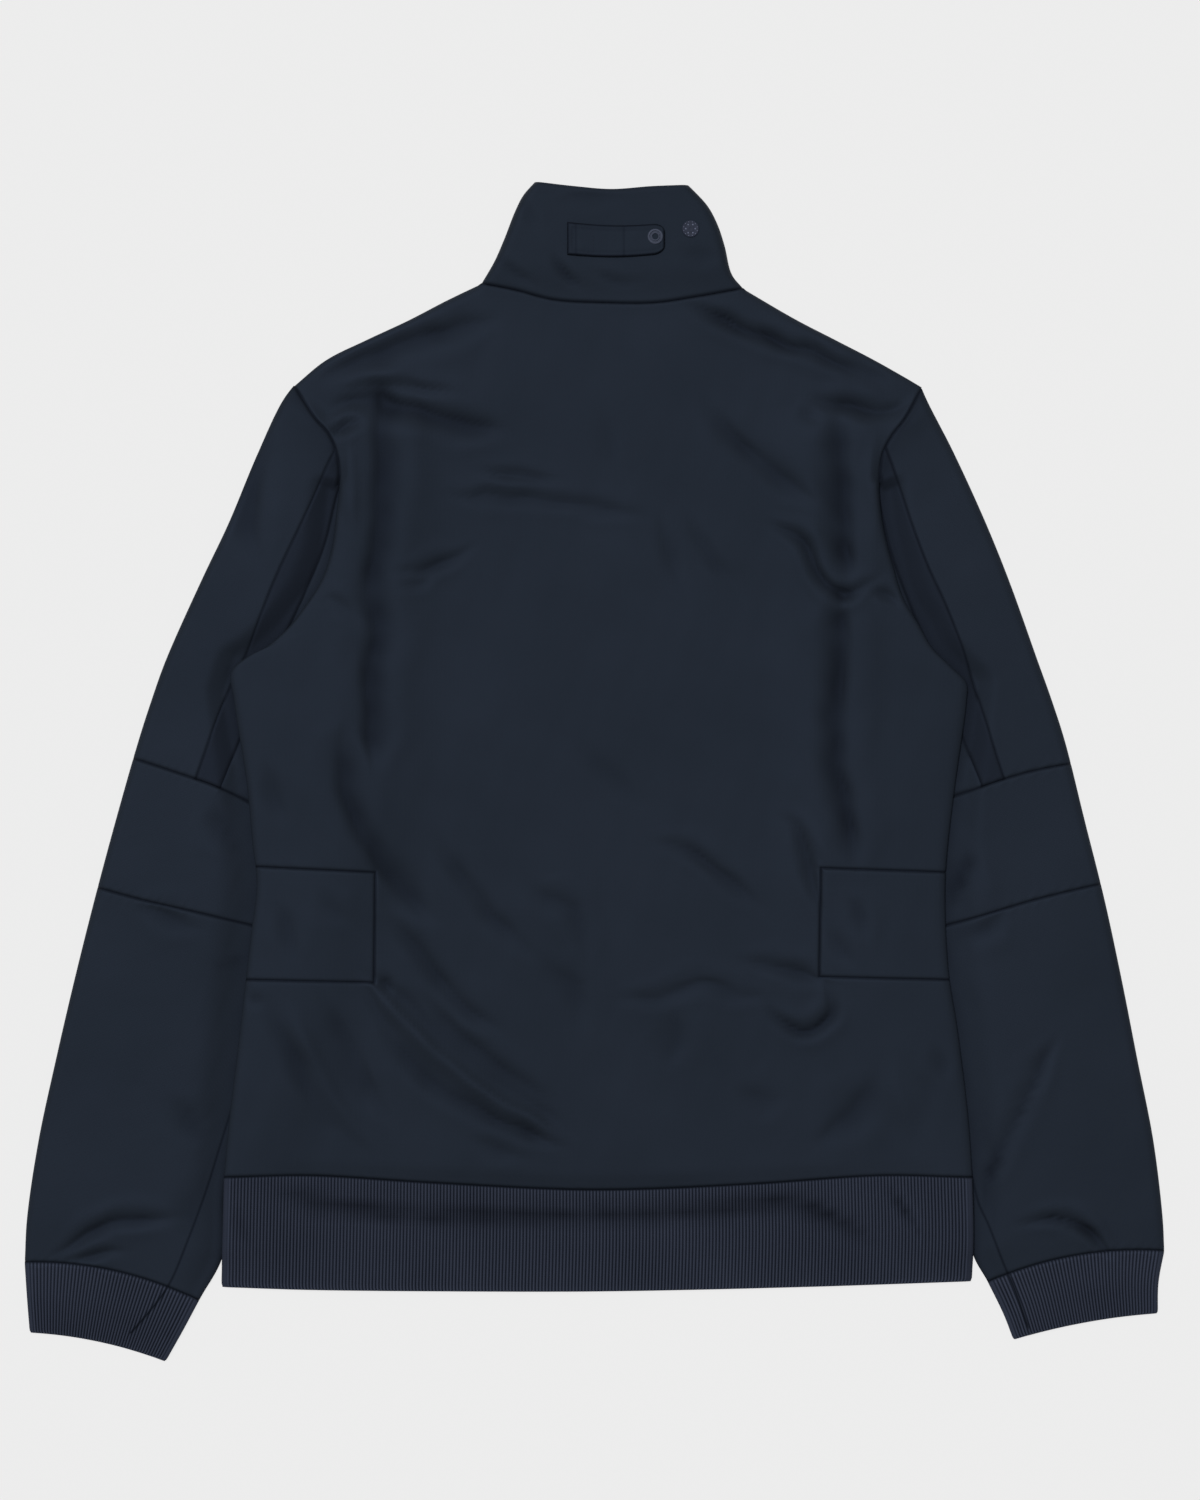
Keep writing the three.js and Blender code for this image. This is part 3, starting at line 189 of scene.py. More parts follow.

# %% [markdown]
# ## Folds
# Cloth that has been worn and laid down keeps soft folds. Each row is one fold: its height, its
# half width and the points it runs through. A negative height is a trough, and a negative half
# width puts the steep wall on the right of the way it runs. Each fold is real shape, since a
# painted shadow looks right from one side only. The grid also carries how deep a trough is, and
# the finish paints shade into the troughs with it, as cloth looks darker where light gets lost.

# %% Folds of the back and the sleeves
BACK_FOLDS = (
    (-1.7, 8, (-200, 270), (-160, 291), (-118, 306), (-62, 320)),
    (-2.2, 7.5, (-192, 250), (-170, 261), (-148, 262), (-125, 254), (-95, 246), (-52, 236)),
    (-1.5, 4, (-190, 266), (-150, 272), (-120, 269), (-80, 262)),
    (-2.0, 3.6, (-196, 235), (-178, 240), (-154, 247)),
    (-2.0, -10, (-150, 280), (-149, 220), (-150, 180), (-155, 150), (-157, 120), (-152, 95),
     (-158, 70), (-157, 40), (-153, -10)),
    (-1.8, -9, (-171, 44), (-177, 8), (-171, -22), (-160, -50), (-142, -74), (-108, -112)),
    (0.8, 6, (-170, 238), (-169, 200), (-166, 160)),
    (-1.3, 4.5, (-148, 140), (-125, 141), (-104, 148), (-78, 160)),
    (-0.8, 4, (-140, 136), (-126, 131), (-108, 138)),
    (-1.1, 3.5, (-94, 213), (-70, 210), (-46, 207), (-10, 202)),
    (-1.0, 4.5, (-114, 196), (-80, 193), (-40, 192), (-10, 188), (20, 183), (46, 175)),
    (0.6, 4, (-90, 203), (-55, 202), (-30, 200)),
    (-1.0, 5, (-194, 119), (-183, 121), (-171, 112), (-163, 100)),
    (-0.5, 8, (4, 262), (12, 230), (22, 200)),
    (-2.1, 5, (54, 333), (88, 318), (111, 308), (133, 301), (156, 294), (192, 274)),
    (-1.0, 8, (165, 290), (190, 280), (212, 270)),
    (-2.2, 5, (142, 263), (175, 258), (200, 253), (227, 258)),
    (-0.8, 4, (136, 247), (150, 249), (162, 243)),
    (-1.4, 6.5, (74, 268), (90, 242), (108, 226), (128, 210), (150, 192), (164, 180)),
    (-2.1, 10, (172, 262), (173, 220), (174, 180), (178, 116)),
    (-2.1, 9, (173, 138), (173, 90), (171, 50), (170, 20), (171, 0), (176, -24), (185, -76)),
    (0.8, 6, (196, 240), (196, 190), (196, 150)),
    (-2.3, 4.6, (116, 178), (131, 170), (147, 161), (156, 142), (167, 128), (179, 127), (206, 140)),
    (-1.2, 4, (188, 119), (197, 125), (206, 123), (214, 113)),
    (-0.8, 4.5, (44, 194), (50, 165), (58, 140), (72, 114)),
    (-0.9, 4.5, (60, 190), (76, 162), (92, 138), (108, 116)),
    (-1.5, 6, (-150, -94), (-125, -119), (-108, -144), (-87, -166), (-56, -188)),
    (1.8, 4.6, (-168, -138), (-142, -163), (-120, -186), (-98, -206), (-70, -227), (-10, -262)),
    (-1.3, 5, (-126, -148), (-96, -180), (-66, -204), (-22, -234)),
    (-1.2, 5.5, (-156, -170), (-130, -200), (-104, -223), (-70, -241), (-14, -262)),
    (-0.9, 7, (-234, -154), (-217, -182), (-205, -206), (-188, -242)),
    (-1.1, 6.5, (-198, -148), (-176, -178), (-162, -211), (-136, -252)),
    (1.0, 6, (-216, -154), (-199, -194), (-175, -237), (-152, -266)),
    (-0.8, 4, (-246, -155), (-238, -158), (-230, -166)),
    (-0.9, 6, (-92, -253), (-66, -262), (-40, -273)),
    (-1.0, 6, (-224, -86), (-212, -112), (-206, -141)),
    (-0.7, 6, (-192, -76), (-182, -95), (-166, -108)),
    (-1.0, 7, (-232, 12), (-224, -10), (-212, -43)),
    (-1.1, 6, (-114, -38), (-97, -64), (-78, -92), (-56, -114), (-34, -138)),
    (-0.7, 7, (-18, 30), (6, 6), (28, -16), (46, -36)),
    (-1.0, 6, (-49, -62), (-38, -85), (-15, -95), (1, -140)),
    (-1.0, 8, (-45, -124), (-28, -140), (-12, -150), (-8, -190)),
    (-0.9, 9, (45, -160), (58, -180), (50, -212)),
    (-0.9, 5, (4, -158), (46, -156), (74, -146), (100, -154), (133, -160)),
    (-1.7, 5, (122, -28), (140, -38), (149, -56), (154, -80), (162, -106)),
    (-1.4, 5, (34, -48), (64, -53), (84, -66), (102, -82), (124, -104)),
    (-1.4, 5, (92, -130), (120, -133), (146, -140), (176, -152)),
    (-2.1, 4.4, (116, -156), (129, -172), (145, -180), (158, -176), (166, -163), (160, -140)),
    (-1.3, 10, (148, -262), (170, -246), (186, -226), (196, -205)),
    (0.7, 8, (205, -190), (214, -225), (224, -262)),
    (-0.8, 9, (96, -218), (118, -228), (138, -226)),
    (-1.0, 5, (164, -104), (172, -122), (182, -140)),
    (-0.9, 5, (170, -84), (184, -95), (192, -125)),
    (-0.9, 5, (-152, -149), (-146, -147), (-138, -144)),
    (-0.8, 6, (234, -186), (242, -200), (248, -222)),
)
SLEEVE_FOLDS = (
    (-1.4, 9, (-222, 240), (-236, 205), (-240, 170), (-232, 135)),
    (-1.3, 7, (-325, -93), (-298, -100), (-269, -114)),
    (-1.0, 6, (-272, -134), (-257, -134), (-240, -124)),
    (-1.2, 8, (-297, -226), (-282, -240), (-273, -268)),
    (-1.8, 4.5, (-384, -340), (-355, -322), (-331, -312), (-309, -311), (-282, -308)),
    (-1.5, 3.2, (-373, -341), (-350, -337), (-324, -331)),
    (-1.3, 8, (-266, -14), (-257, -42), (-244, -64)),
    (-1.0, 7, (-268, -268), (-280, -310), (-284, -345)),
    (-1.3, 7, (247, -112), (266, -110), (292, -96)),
    (-1.5, 4.2, (328, -178), (311, -209), (293, -247), (282, -269), (276, -286), (274, -312)),
    (-2.3, 3.8, (290, -317), (306, -312), (322, -311), (335, -313), (347, -321), (359, -335),
     (371, -345)),
    (-2.0, 8, (264, -46), (257, -75), (246, -104)),
    (-0.8, 8, (266, -212), (275, -260), (284, -338)),
)
HEM_FOLDS = (
    (-1.7, 8, (-235, -290), (-180, -302), (-120, -308), (-17, -308), (60, -306), (123, -300),
     (150, -303), (180, -318), (206, -334)),
    (-1.6, 5, (196, -284), (212, -299), (226, -318), (238, -334)),
    (-0.8, 6, (-256, -296), (-244, -318), (-232, -344)),
)
COLLAR_FOLDS = (
    (-1.1, 3, (-31, 368), (-24, 355), (-14, 343), (-2, 334)),
    (-0.7, 3.4, (-74, 368), (-62, 355), (-48, 345), (-32, 338)),
    (-0.6, 4, (-54, 404), (-45, 390), (-38, 372)),
    (-0.6, 3, (-10, 353), (6, 346), (26, 342), (44, 343)),
    (-0.4, 5, (54, 368), (74, 360), (94, 363)),
    (-0.4, 5, (-36, 398), (0, 402), (30, 400)),
)
print(len(BACK_FOLDS) + len(SLEEVE_FOLDS) + len(HEM_FOLDS) + len(COLLAR_FOLDS), "folds")

# %% [markdown]
# ## Drawing with tables
# An edge is a smooth line through its rows. A pattern piece is then a patch that hangs between
# four such lines. Curves could be Blender's own, but a few lines of array code keep the points
# under control, so that neighbouring pieces meet along one line.

# %% Smooth lines
def smoothstep(start, end, value):
    share = np.clip((value - start) / (end - start), 0, 1)
    return share * share * (3 - 2 * share)


def mix(a, b, share):
    return a + (b - a) * share


class Line:
    """A smooth line through the rows of a table."""

    def __init__(self, rows, count=40):
        rows = np.array(rows, float)[:, :2]
        ends = np.vstack([2 * rows[0] - rows[1], rows, 2 * rows[-1] - rows[-2]])
        place = np.linspace(0, len(rows) - 1, (len(rows) - 1) * count + 1)
        index = np.minimum(place.astype(int), len(rows) - 2)
        share = (place - index)[:, None]
        a, b, c, d = (ends[index + k] for k in range(4))
        ab, bc, cd = (self.gap(p, q) for p, q in ((a, b), (b, c), (c, d)))
        start = ((b - a) / ab - (c - a) / (ab + bc) + (c - b) / bc) * bc
        end = ((c - b) / bc - (d - b) / (bc + cd) + (d - c) / cd) * bc
        square = 3 * (c - b) - 2 * start - end
        cube = 2 * (b - c) + start + end
        self.points = b + share * (start + share * (square + share * cube))
        self.by_row = place / (len(rows) - 1)
        steps = np.hypot(*np.diff(self.points, axis=0).T)
        self.by_length = np.concatenate([[0], np.cumsum(steps)]) / steps.sum()

    @staticmethod
    def gap(first, second):
        """The root of the distance between points, which keeps the line from looping."""
        return np.sum((second - first) ** 2, axis=1, keepdims=True) ** 0.25

    def at(self, share):
        return np.stack([np.interp(share, self.by_length, self.points[:, k]) for k in (0, 1)], -1)

    def row(self, share):
        return np.stack([np.interp(share, self.by_row, self.points[:, k]) for k in (0, 1)], -1)

    def x(self, y):
        order = np.argsort(self.points[:, 1], kind="stable")
        return np.interp(y, self.points[order, 1], self.points[order, 0])

    def y(self, x):
        order = np.argsort(self.points[:, 0], kind="stable")
        return np.interp(x, self.points[order, 0], self.points[order, 1])


def chain(*tables):
    """Several lines end to end, each on an equal share of 0 to 1."""
    lines = [Line(rows) for rows in tables]

    def at(share):
        place = np.clip(share, 0, 1) * len(lines)
        index = np.minimum(place.astype(int), len(lines) - 1)
        found = np.zeros(np.shape(share) + (2,))
        for k, line in enumerate(lines):
            here = index == k
            found[here] = line.at((place - k)[here])
        return found

    return at


def patch(bottom, top, left, right, u, v):
    """Points between four edges, at each place (u, v)."""
    zero, one = np.zeros(1), np.ones(1)
    low_left, low_right = bottom(zero)[0], bottom(one)[0]
    high_left, high_right = top(zero)[0], top(one)[0]
    across = mix(bottom(u), top(u), v[..., None])
    up = mix(left(v), right(v), u[..., None])
    low = mix(low_left, low_right, u[..., None])
    high = mix(high_left, high_right, u[..., None])
    corners = mix(low, high, v[..., None])
    return across + up - corners


# %% Distances from a seam, and points that crowd beside it
STEPS = np.array([0, 0.35, 0.8, 1.4, 2.2, 3.4, 5.0])


def graded(length, low=True, high=True, pitch=PITCH):
    """Shares from 0 to 1 along a length, crowded where that end is a seam or a fold."""
    start = STEPS if low else np.array([0.0])
    end = length - STEPS[::-1] if high else np.array([float(length)])
    count = max(int(round((end[0] - start[-1]) / pitch)), 1)
    middle = np.linspace(start[-1], end[0], count + 1)[1:-1]
    return np.concatenate([start, middle, end]) / length


def joined(knots, *parts):
    """Shares of several stretches end to end, between the knots."""
    found = [np.array([knots[0]])]
    for k, part in enumerate(parts):
        found.append(mix(knots[k], knots[k + 1], part[1:]))
    return np.concatenate(found)


def away(points, x, y):
    """How far each place is from a line of points."""
    best = np.full(np.shape(x), np.inf)
    for (ax, ay), (bx, by) in zip(points[:-1], points[1:]):
        dx, dy = bx - ax, by - ay
        share = np.clip(((x - ax) * dx + (y - ay) * dy) / (dx * dx + dy * dy), 0, 1)
        best = np.minimum(best, (x - ax - share * dx) ** 2 + (y - ay - share * dy) ** 2)
    return np.sqrt(best)


def seam_line(rows, every=8):
    return Line(rows).points[::every]


# %% Ripples, and places beside a line
def bell(distance, width):
    return np.exp(-((distance / width) ** 2))


def ripples(x, y, size, seed):
    """Soft irregular waves of about one size, from -1 to 1."""
    random = np.random.default_rng(seed)
    total = np.zeros(np.shape(x))
    for _ in range(12):
        angle, phase = random.uniform(0, 2 * np.pi, 2)
        wave = 2 * np.pi / (size * random.uniform(0.6, 1.6))
        total += np.sin((x * np.cos(angle) + y * np.sin(angle)) * wave + phase)
    return total / 5


def beside(points, x, y):
    """How far along a line of points each place is, from 0 to 1, and how far to its left."""
    steps = np.hypot(*np.diff(points, axis=0).T)
    before = np.cumsum(steps) - steps
    best = np.full(np.shape(x), np.inf)
    along, left = np.zeros(np.shape(x)), np.zeros(np.shape(x))
    for (ax, ay), (bx, by), step, passed in zip(points[:-1], points[1:], steps, before):
        dx, dy = (bx - ax) / step, (by - ay) / step
        share = np.clip((x - ax) * dx + (y - ay) * dy, 0, step)
        square = (x - ax - share * dx) ** 2 + (y - ay - share * dy) ** 2
        nearer = square < best
        best = np.where(nearer, square, best)
        along = np.where(nearer, (passed + share) / steps.sum(), along)
        left = np.where(nearer, np.sign((y - ay) * dx - (x - ax) * dy), left)
    return along, left * np.sqrt(best)


LINE_ZERO = 20
LINE_REACH = 9


def line_value(rows, x, y, is_top):
    """On the upper side, LINE_ZERO plus the distance from a line; on the lower side, 0."""
    left = beside(Line(rows, 4).points, x, y)[1]
    return np.where(is_top, LINE_ZERO + np.clip(left, -LINE_REACH, LINE_REACH), 0)


# %% Heights: folds, rolled edges and seam grooves
FOLD_DEPTH = 1.55
FADE = 40.0
LONGEST_FADE = 0.48
NARROW_END = 0.4
STEEP_WALL = 0.62
GENTLE_WALL = 1.5
LIP_PLACE = 2.1
LIP_WIDTH = 1.1
LIP_SHARE = {"trough": 0.3, "ridge": 0.6}
WANDER = 1.3
WANDER_SIZE = 38
DEEP = 3.1
HOLLOW_CURVE = 1.5
ROLL = 6.0


def folds_at(table, x, y):
    total = np.zeros(np.shape(x))
    wander_x = x + WANDER * ripples(x, y, WANDER_SIZE, 21)
    wander_y = y + WANDER * ripples(x, y, WANDER_SIZE, 22)
    for height, half, *rows in table:
        points = Line(rows, 3).points
        reach = 4 * abs(half) + 2 * WANDER
        low, high = points.min(0) - reach, points.max(0) + reach
        near = (x > low[0]) & (x < high[0]) & (y > low[1]) & (y < high[1])
        along, left = beside(points, wander_x[near], wander_y[near])
        fade = min(LONGEST_FADE, FADE / np.hypot(*np.diff(points, axis=0).T).sum())
        ends = smoothstep(0, fade, along) * smoothstep(0, fade, 1 - along)
        across = np.sign(half) * left / (abs(half) * mix(NARROW_END, 1, ends))
        trough = bell(across, np.where(across > 0, STEEP_WALL, GENTLE_WALL))
        lips = bell(np.abs(across) - LIP_PLACE, LIP_WIDTH)
        lip_share = LIP_SHARE["trough" if height < 0 else "ridge"]
        total[near] += FOLD_DEPTH * height * ends * (trough - lip_share * lips)
    return total * (0.95 + 0.16 * ripples(x, y, 30, 23))


def hollow_at(table, x, y):
    """How much painted shade each place gets, from 0 to 1, by how far down it lies in a trough."""
    return np.clip(-folds_at(table, x, y) / DEEP, 0, 1) ** HOLLOW_CURVE


def roll(distance):
    return np.sqrt(1 - (1 - np.clip(distance / ROLL, 0, 1)) ** 2)


def groove(distance, depth=0.95, width=1.1):
    return depth * bell(distance, width)


# %% [markdown]
# ## What lies under the back
# The body lies over the inner half of each sleeve, and the zip lifts the cloth beside its slider.
# A simulation could settle the layers, but the pieces would no longer meet on their seams. So the
# heights are worked out, the same as in the solid part, and the pieces keep clear of each other.

# %% The ground that each layer lies on
ARMHOLE_LOW = {"left": 203.0, "right": 202.0}
ARMHOLE_FADE = (56, 30)
PRESSED = 3.4
RAMP_FRONT = 14.0
RAMP_BACK = 58.0
BAND_CLEAR = (-352, -330)
INNER = {
    "left": Line([row[2:4] for row in SLEEVE_LEFT]),
    "right": Line([row[2:4] for row in SLEEVE_RIGHT]),
}
BODY_EDGE = {
    "left": Line(((-261, -370),) + SIDE_LEFT),
    "right": Line(((265, -370),) + SIDE_RIGHT),
}


def under_armhole(name, y):
    start, end = ARMHOLE_FADE
    return smoothstep(ARMHOLE_LOW[name] + start, ARMHOLE_LOW[name] + end, y)


def ground(x, y, ramp):
    """How high the pressed sleeves hold up the body."""
    on_left = smoothstep(ramp, 0, x - INNER["left"].x(y)) * under_armhole("left", y)
    on_right = smoothstep(ramp, 0, INNER["right"].x(y) - x) * under_armhole("right", y)
    return (PRESSED + LAYER) * np.maximum(on_left, on_right) * smoothstep(*BAND_CLEAR, y)


# %% The zip's rise, and the heights at the armhole and the neck
CHAIN_RISE = 4.1
CHAIN_RAMP = (300, 368)
CHAIN_REACH = (42, 7)
ARMHOLE_TIP = 4
ARMHOLE_RISE = 4.6
ARMHOLE_DIP = 1.2
NECK_SEAM_HEIGHT = 7.8
NECK_LOWEST = (12, 330)
NECK_BEND = 0.0006
COLLAR_CROWN = 9.6
COLLAR_RISE = 24


def chain_lift(y):
    return CHAIN_RISE * smoothstep(*CHAIN_RAMP, y)


def lift_beside(x, y):
    return chain_lift(y) * smoothstep(*CHAIN_REACH, np.abs(x))


def armhole_height(y):
    rise = ARMHOLE_RISE * smoothstep(272, 240, y)
    dip = ARMHOLE_DIP * smoothstep(230, ARMHOLE_LOW["left"], y)
    return ARMHOLE_TIP + rise - dip


def collar_height(x, y):
    """The collar's outer side, which climbs from the curved neck seam."""
    above = y - NECK_LOWEST[1] - NECK_BEND * (x - NECK_LOWEST[0]) ** 2
    return mix(NECK_SEAM_HEIGHT, COLLAR_CROWN, smoothstep(0, COLLAR_RISE, above))


print("the armhole is", round(float(armhole_height(np.array(240.0))), 2), "mm high at its top")

# %% [markdown]
# ## A wall of cloth
# Every piece becomes a closed shell: an outer side, an inner side one thickness away, and a rim
# all round. A Solidify modifier could do this, but it would also thicken the cloth at the folds,
# so the inner side is worked out with the outer one. The grid may carry values for the finish,
# such as how close a point is to a seam.

# %% Points and faces to an object
def meshed(name, points, faces):
    mesh = bpy.data.meshes.new(name)
    mesh.from_pydata((np.array(points) * TO_METRES).tolist(), [], faces)
    return mesh


def finished(name, mesh):
    """An object for a mesh, checked for broken faces and shaded smooth."""
    mesh.validate()
    mesh.shade_smooth()
    mesh.set_sharp_from_angle(angle=math.radians(58))
    made = bpy.data.objects.new(name, mesh)
    bpy.context.scene.collection.objects.link(made)
    print(name, "has", len(mesh.polygons), "faces")
    return made


def with_height(plan, z):
    return np.concatenate([plan, z[..., None]], -1)


def all_squares(grid):
    return np.ones((grid.shape[0] - 1, grid.shape[1] - 1), bool)


# %% Grid to wall
def wall(name, outer, inner, use, closed=False, **values):
    """A closed shell from two grids of points. Only the squares in use are built."""
    rows, columns = outer.shape[:2]
    ids = np.arange(rows * columns).reshape(rows, columns)
    right = np.roll(ids, -1, axis=1) if closed else ids[:, 1:]
    ids = ids if closed else ids[:, :-1]
    corner = np.stack([ids[:-1], right[:-1], right[1:], ids[1:]], -1)
    flat_outer, flat_inner = outer.reshape(-1, 3), inner.reshape(-1, 3)
    a, b, c, d = (flat_outer[corner[..., k]] for k in range(4))
    normal = np.cross(c - a, d - b)
    outward = a - flat_inner[corner[..., 0]]
    if np.sum(np.sum(normal * outward, -1)[use]) < 0:
        corner = corner[..., ::-1]
        order = ((1, 0), (0, 1), (-1, 0), (0, -1))
    else:
        order = ((-1, 0), (0, 1), (1, 0), (0, -1))
    total = rows * columns
    faces = [corner[use], corner[use][:, ::-1] + total]
    padded = np.pad(use, 1)
    if closed:
        padded[1:-1, 0] = use[:, -1]
        padded[1:-1, -1] = use[:, 0]
    height, width = use.shape
    for side, (down, across) in enumerate(order):
        neighbour = padded[1 + down:1 + down + height, 1 + across:1 + across + width]
        edge = corner[use & ~neighbour]
        first, second = edge[:, side], edge[:, (side + 1) % 4]
        faces.append(np.stack([second, first, first + total, second + total], -1))
    faces = np.concatenate(faces)
    used, faces = np.unique(faces, return_inverse=True)
    faces = faces.reshape(-1, 4)
    mesh = meshed(name, np.concatenate([flat_outer, flat_inner])[used], faces.tolist())
    for key, value in values.items():
        data = np.concatenate([value.reshape(total, -1)] * 2)[used]
        kind, field = ("FLOAT", "value") if data.shape[1] == 1 else ("FLOAT_VECTOR", "vector")
        attribute = mesh.attributes.new(key, kind, "POINT")
        attribute.data.foreach_set(field, data.astype(np.float32).ravel())
    return finished(name, mesh)


# %% [markdown]
# ## Finishes
# A finish is a small graph of nodes. Numbers that vary over the cloth are written as plain
# expressions: a little class stands for a socket, and each sum or product adds its Math node.
# Colours go through Mix nodes, which keep all three channels.

# %% A small language for shaders
class Value:
    """A socket that can be used in a sum."""

    def __init__(self, finish, socket):
        self.finish = finish
        self.socket = socket

    def math(self, operation, first, second):
        return self.finish.node("ShaderNodeMath", {"operation": operation}, {0: first, 1: second})

    def __add__(self, other):
        return self.math("ADD", self, other)

    __radd__ = __add__

    def __mul__(self, other):
        return self.math("MULTIPLY", self, other)

    __rmul__ = __mul__

    def __sub__(self, other):
        return self.math("SUBTRACT", self, other)

    def __rsub__(self, other):
        return self.math("SUBTRACT", other, self)


def linear(red, green, blue):
    """A colour as a screen shows it, 0 to 255, as light."""
    parts = [channel / 255 for channel in (red, green, blue)]
    return tuple(p / 12.92 if p <= 0.04045 else ((p + 0.055) / 1.055) ** 2.4 for p in parts) + (1.0,)


LINE_FALL = 0.7


class Finish:
    """One material and the nodes in it."""

    def __init__(self, name, **constants):
        self.material = bpy.data.materials.new(name)
        self.material.use_nodes = True
        self.tree = self.material.node_tree
        self.shader = self.tree.nodes["Principled BSDF"]
        for key, value in constants.items():
            self.shader.inputs[key.replace("_", " ")].default_value = value

    def node(self, kind, settings=None, sockets=None, output=0):
        node = self.tree.nodes.new(kind)
        for key, value in (settings or {}).items():
            setattr(node, key, value)
        for key, value in (sockets or {}).items():
            self.connect(node.inputs[key], value)
        return Value(self, node.outputs[output])

    def connect(self, socket, value):
        if isinstance(value, Value):
            self.tree.links.new(value.socket, socket)
        else:
            socket.default_value = value

    def feed(self, **sockets):
        for key, value in sockets.items():
            self.connect(self.shader.inputs[key.replace("_", " ")], value)

    def blend(self, share, first, second):
        """A Mix node of two colours: they are its sockets 6 and 7, and output 2."""
        sockets = {0: share, 6: first, 7: second}
        return self.node("ShaderNodeMix", {"data_type": "RGBA"}, sockets, 2)

    def carried(self, name, output="Fac"):
        return self.node("ShaderNodeAttribute", {"attribute_name": name}, None, output)

    def sewn_line(self):
        """1 on a seam that the grid doesn't follow, from the value that line_value gave."""
        across = self.carried("line") - LINE_ZERO
        distance = self.node("ShaderNodeMath", {"operation": "ABSOLUTE"}, {0: across})
        fall = {"operation": "SUBTRACT", "use_clamp": True}
        return self.node("ShaderNodeMath", fall, {0: 1.0, 1: distance * LINE_FALL})

    def noise(self, scale, detail):
        place = self.node("ShaderNodeTexCoord", None, None, "Object")
        sockets = {"Vector": place, "Scale": scale, "Detail": detail}
        return self.node("ShaderNodeTexNoise", None, sockets)

    def wave(self, place, length):
        """A sine that repeats every length along a carried place."""
        return self.node("ShaderNodeMath", {"operation": "SINE"}, {0: place * (2 * math.pi / length)})

    def bump(self, height, distance, strength):
        sockets = {"Height": height, "Distance": distance, "Strength": strength}
        return self.node("ShaderNodeBump", None, sockets)


# %% [markdown]
# ## Tricot
# The shell is a warp-knit polyester: fine wales run along each piece, and the colour is a very
# dark navy that is never quite even. A repeated picture of cloth would not follow each piece's
# own grain. So two sines, along and across the grain, raise the loops, and noise makes the colour
# uneven. Shade is painted into seams and hollows, where less light gets in.

# %% Knitted finishes
# Painted shade in the troughs: how strong it is, and the colour it darkens towards.
HOLLOW_SHADE = 0.75
PAINTED_SHADE_COLOUR = linear(9, 10, 13)
LINE_COLOUR = linear(9, 11, 15)
LOOP_GLOSS = linear(173, 202, 255)


def knit(name, shade, light, wale, gloss):
    finish = Finish(name, Specular_IOR_Level=gloss, Specular_Tint=LOOP_GLOSS)
    grain = finish.carried("grain", "Vector")
    across = finish.node("ShaderNodeSeparateXYZ", None, {0: grain}, 0)
    along = finish.node("ShaderNodeSeparateXYZ", None, {0: grain}, 1)
    wales = finish.wave(across, wale)
    loops = finish.wave(along, wale)
    cloudy = finish.noise(9.0, 4.0)
    fuzz = finish.noise(900.0, 2.0)
    mottled = cloudy * 0.8 + fuzz * 0.35 - 0.08
    line = finish.sewn_line()
    colour = finish.blend(mottled, linear(*shade), linear(*light))
    # Painted shade in the troughs, and on the sleeves a painted shadow beside the body.
    colour = finish.blend(finish.carried("hollow") * HOLLOW_SHADE, colour, PAINTED_SHADE_COLOUR)
    # Painted shade along seams, edges and the underarm seam, and the stitch lines of collar and strap.
    colour = finish.blend(finish.carried("seam"), colour, linear(11, 13, 18))
    colour = finish.blend(line * 0.9, colour, LINE_COLOUR)
    relief = wales * 0.5 + loops * 0.3 + fuzz * 1.2 - line * 5
    finish.feed(Base_Color=colour, Normal=finish.bump(relief, 0.00006, 0.55))
    finish.feed(Roughness=0.66 - cloudy * 0.08)
    return finish.material


TRICOT = knit("tricot", (24, 29, 35), (31, 36, 44), 0.9, 0.13)
COLLAR_CLOTH = knit("collar knit", (23, 28, 34), (30, 35, 42), 0.8, 0.13)
# The tape is its own smoother cloth; its colours are also darker, as painted shade from the body beside
# it.
SHADED_TAPE_CLOTH = knit("smooth tape", (20, 24, 30), (26, 30, 38), 0.6, 0.12)
print("made", TRICOT.name, COLLAR_CLOTH.name, SHADED_TAPE_CLOTH.name)

# %% [markdown]
# ## Rib knit
# Cuffs and waistband are rib knit: raised wales with deep valleys between them. Bump alone could
# draw them, but their ends at the hem would be flat. The grid already has the ribs as shape, and
# the finish paints shade into the valleys and light on the crests, and adds the fine loops.

# %% Rib finish
def rib_finish():
    finish = Finish("rib knit", Roughness=0.68, Specular_IOR_Level=0.12, Specular_Tint=LOOP_GLOSS)
    along = finish.node("ShaderNodeSeparateXYZ", None, {0: finish.carried("grain", "Vector")}, 1)
    loops = finish.wave(along, 1.3)
    cloudy = finish.noise(14.0, 3.0)
    fuzz = finish.noise(1100.0, 2.0)
    # Painted shade in the rib valleys and painted light on the crests, with noise for uneven tone.
    light = finish.carried("rib") * 0.95 + cloudy * 0.25 - 0.12
    colour = finish.blend(light, linear(8, 10, 15), linear(55, 60, 74))
    # Painted shade in the troughs of the rib's folds.
    colour = finish.blend(finish.carried("hollow") * HOLLOW_SHADE, colour, PAINTED_SHADE_COLOUR)
    # Painted shade along the seams and the underarm seam.
    colour = finish.blend(finish.carried("seam"), colour, linear(12, 14, 19))
    colour = finish.blend(finish.sewn_line(), colour, LINE_COLOUR)
    finish.feed(Base_Color=colour, Normal=finish.bump(loops * 0.5 + fuzz, 0.00008, 0.6))
    return finish.material


RIB_CLOTH = rib_finish()
print("made", RIB_CLOTH.name)

# %% [markdown]
# ## The back and its two hip insets
# The back is one large piece with an inset at each lower side. A boolean could cut the insets
# out, but it would leave ragged edges. Instead all three share one grid, whose lines are pulled
# onto the seams, and each piece takes its own squares. So they meet exactly, and each edge sinks
# into the narrow groove that a sewn seam makes.

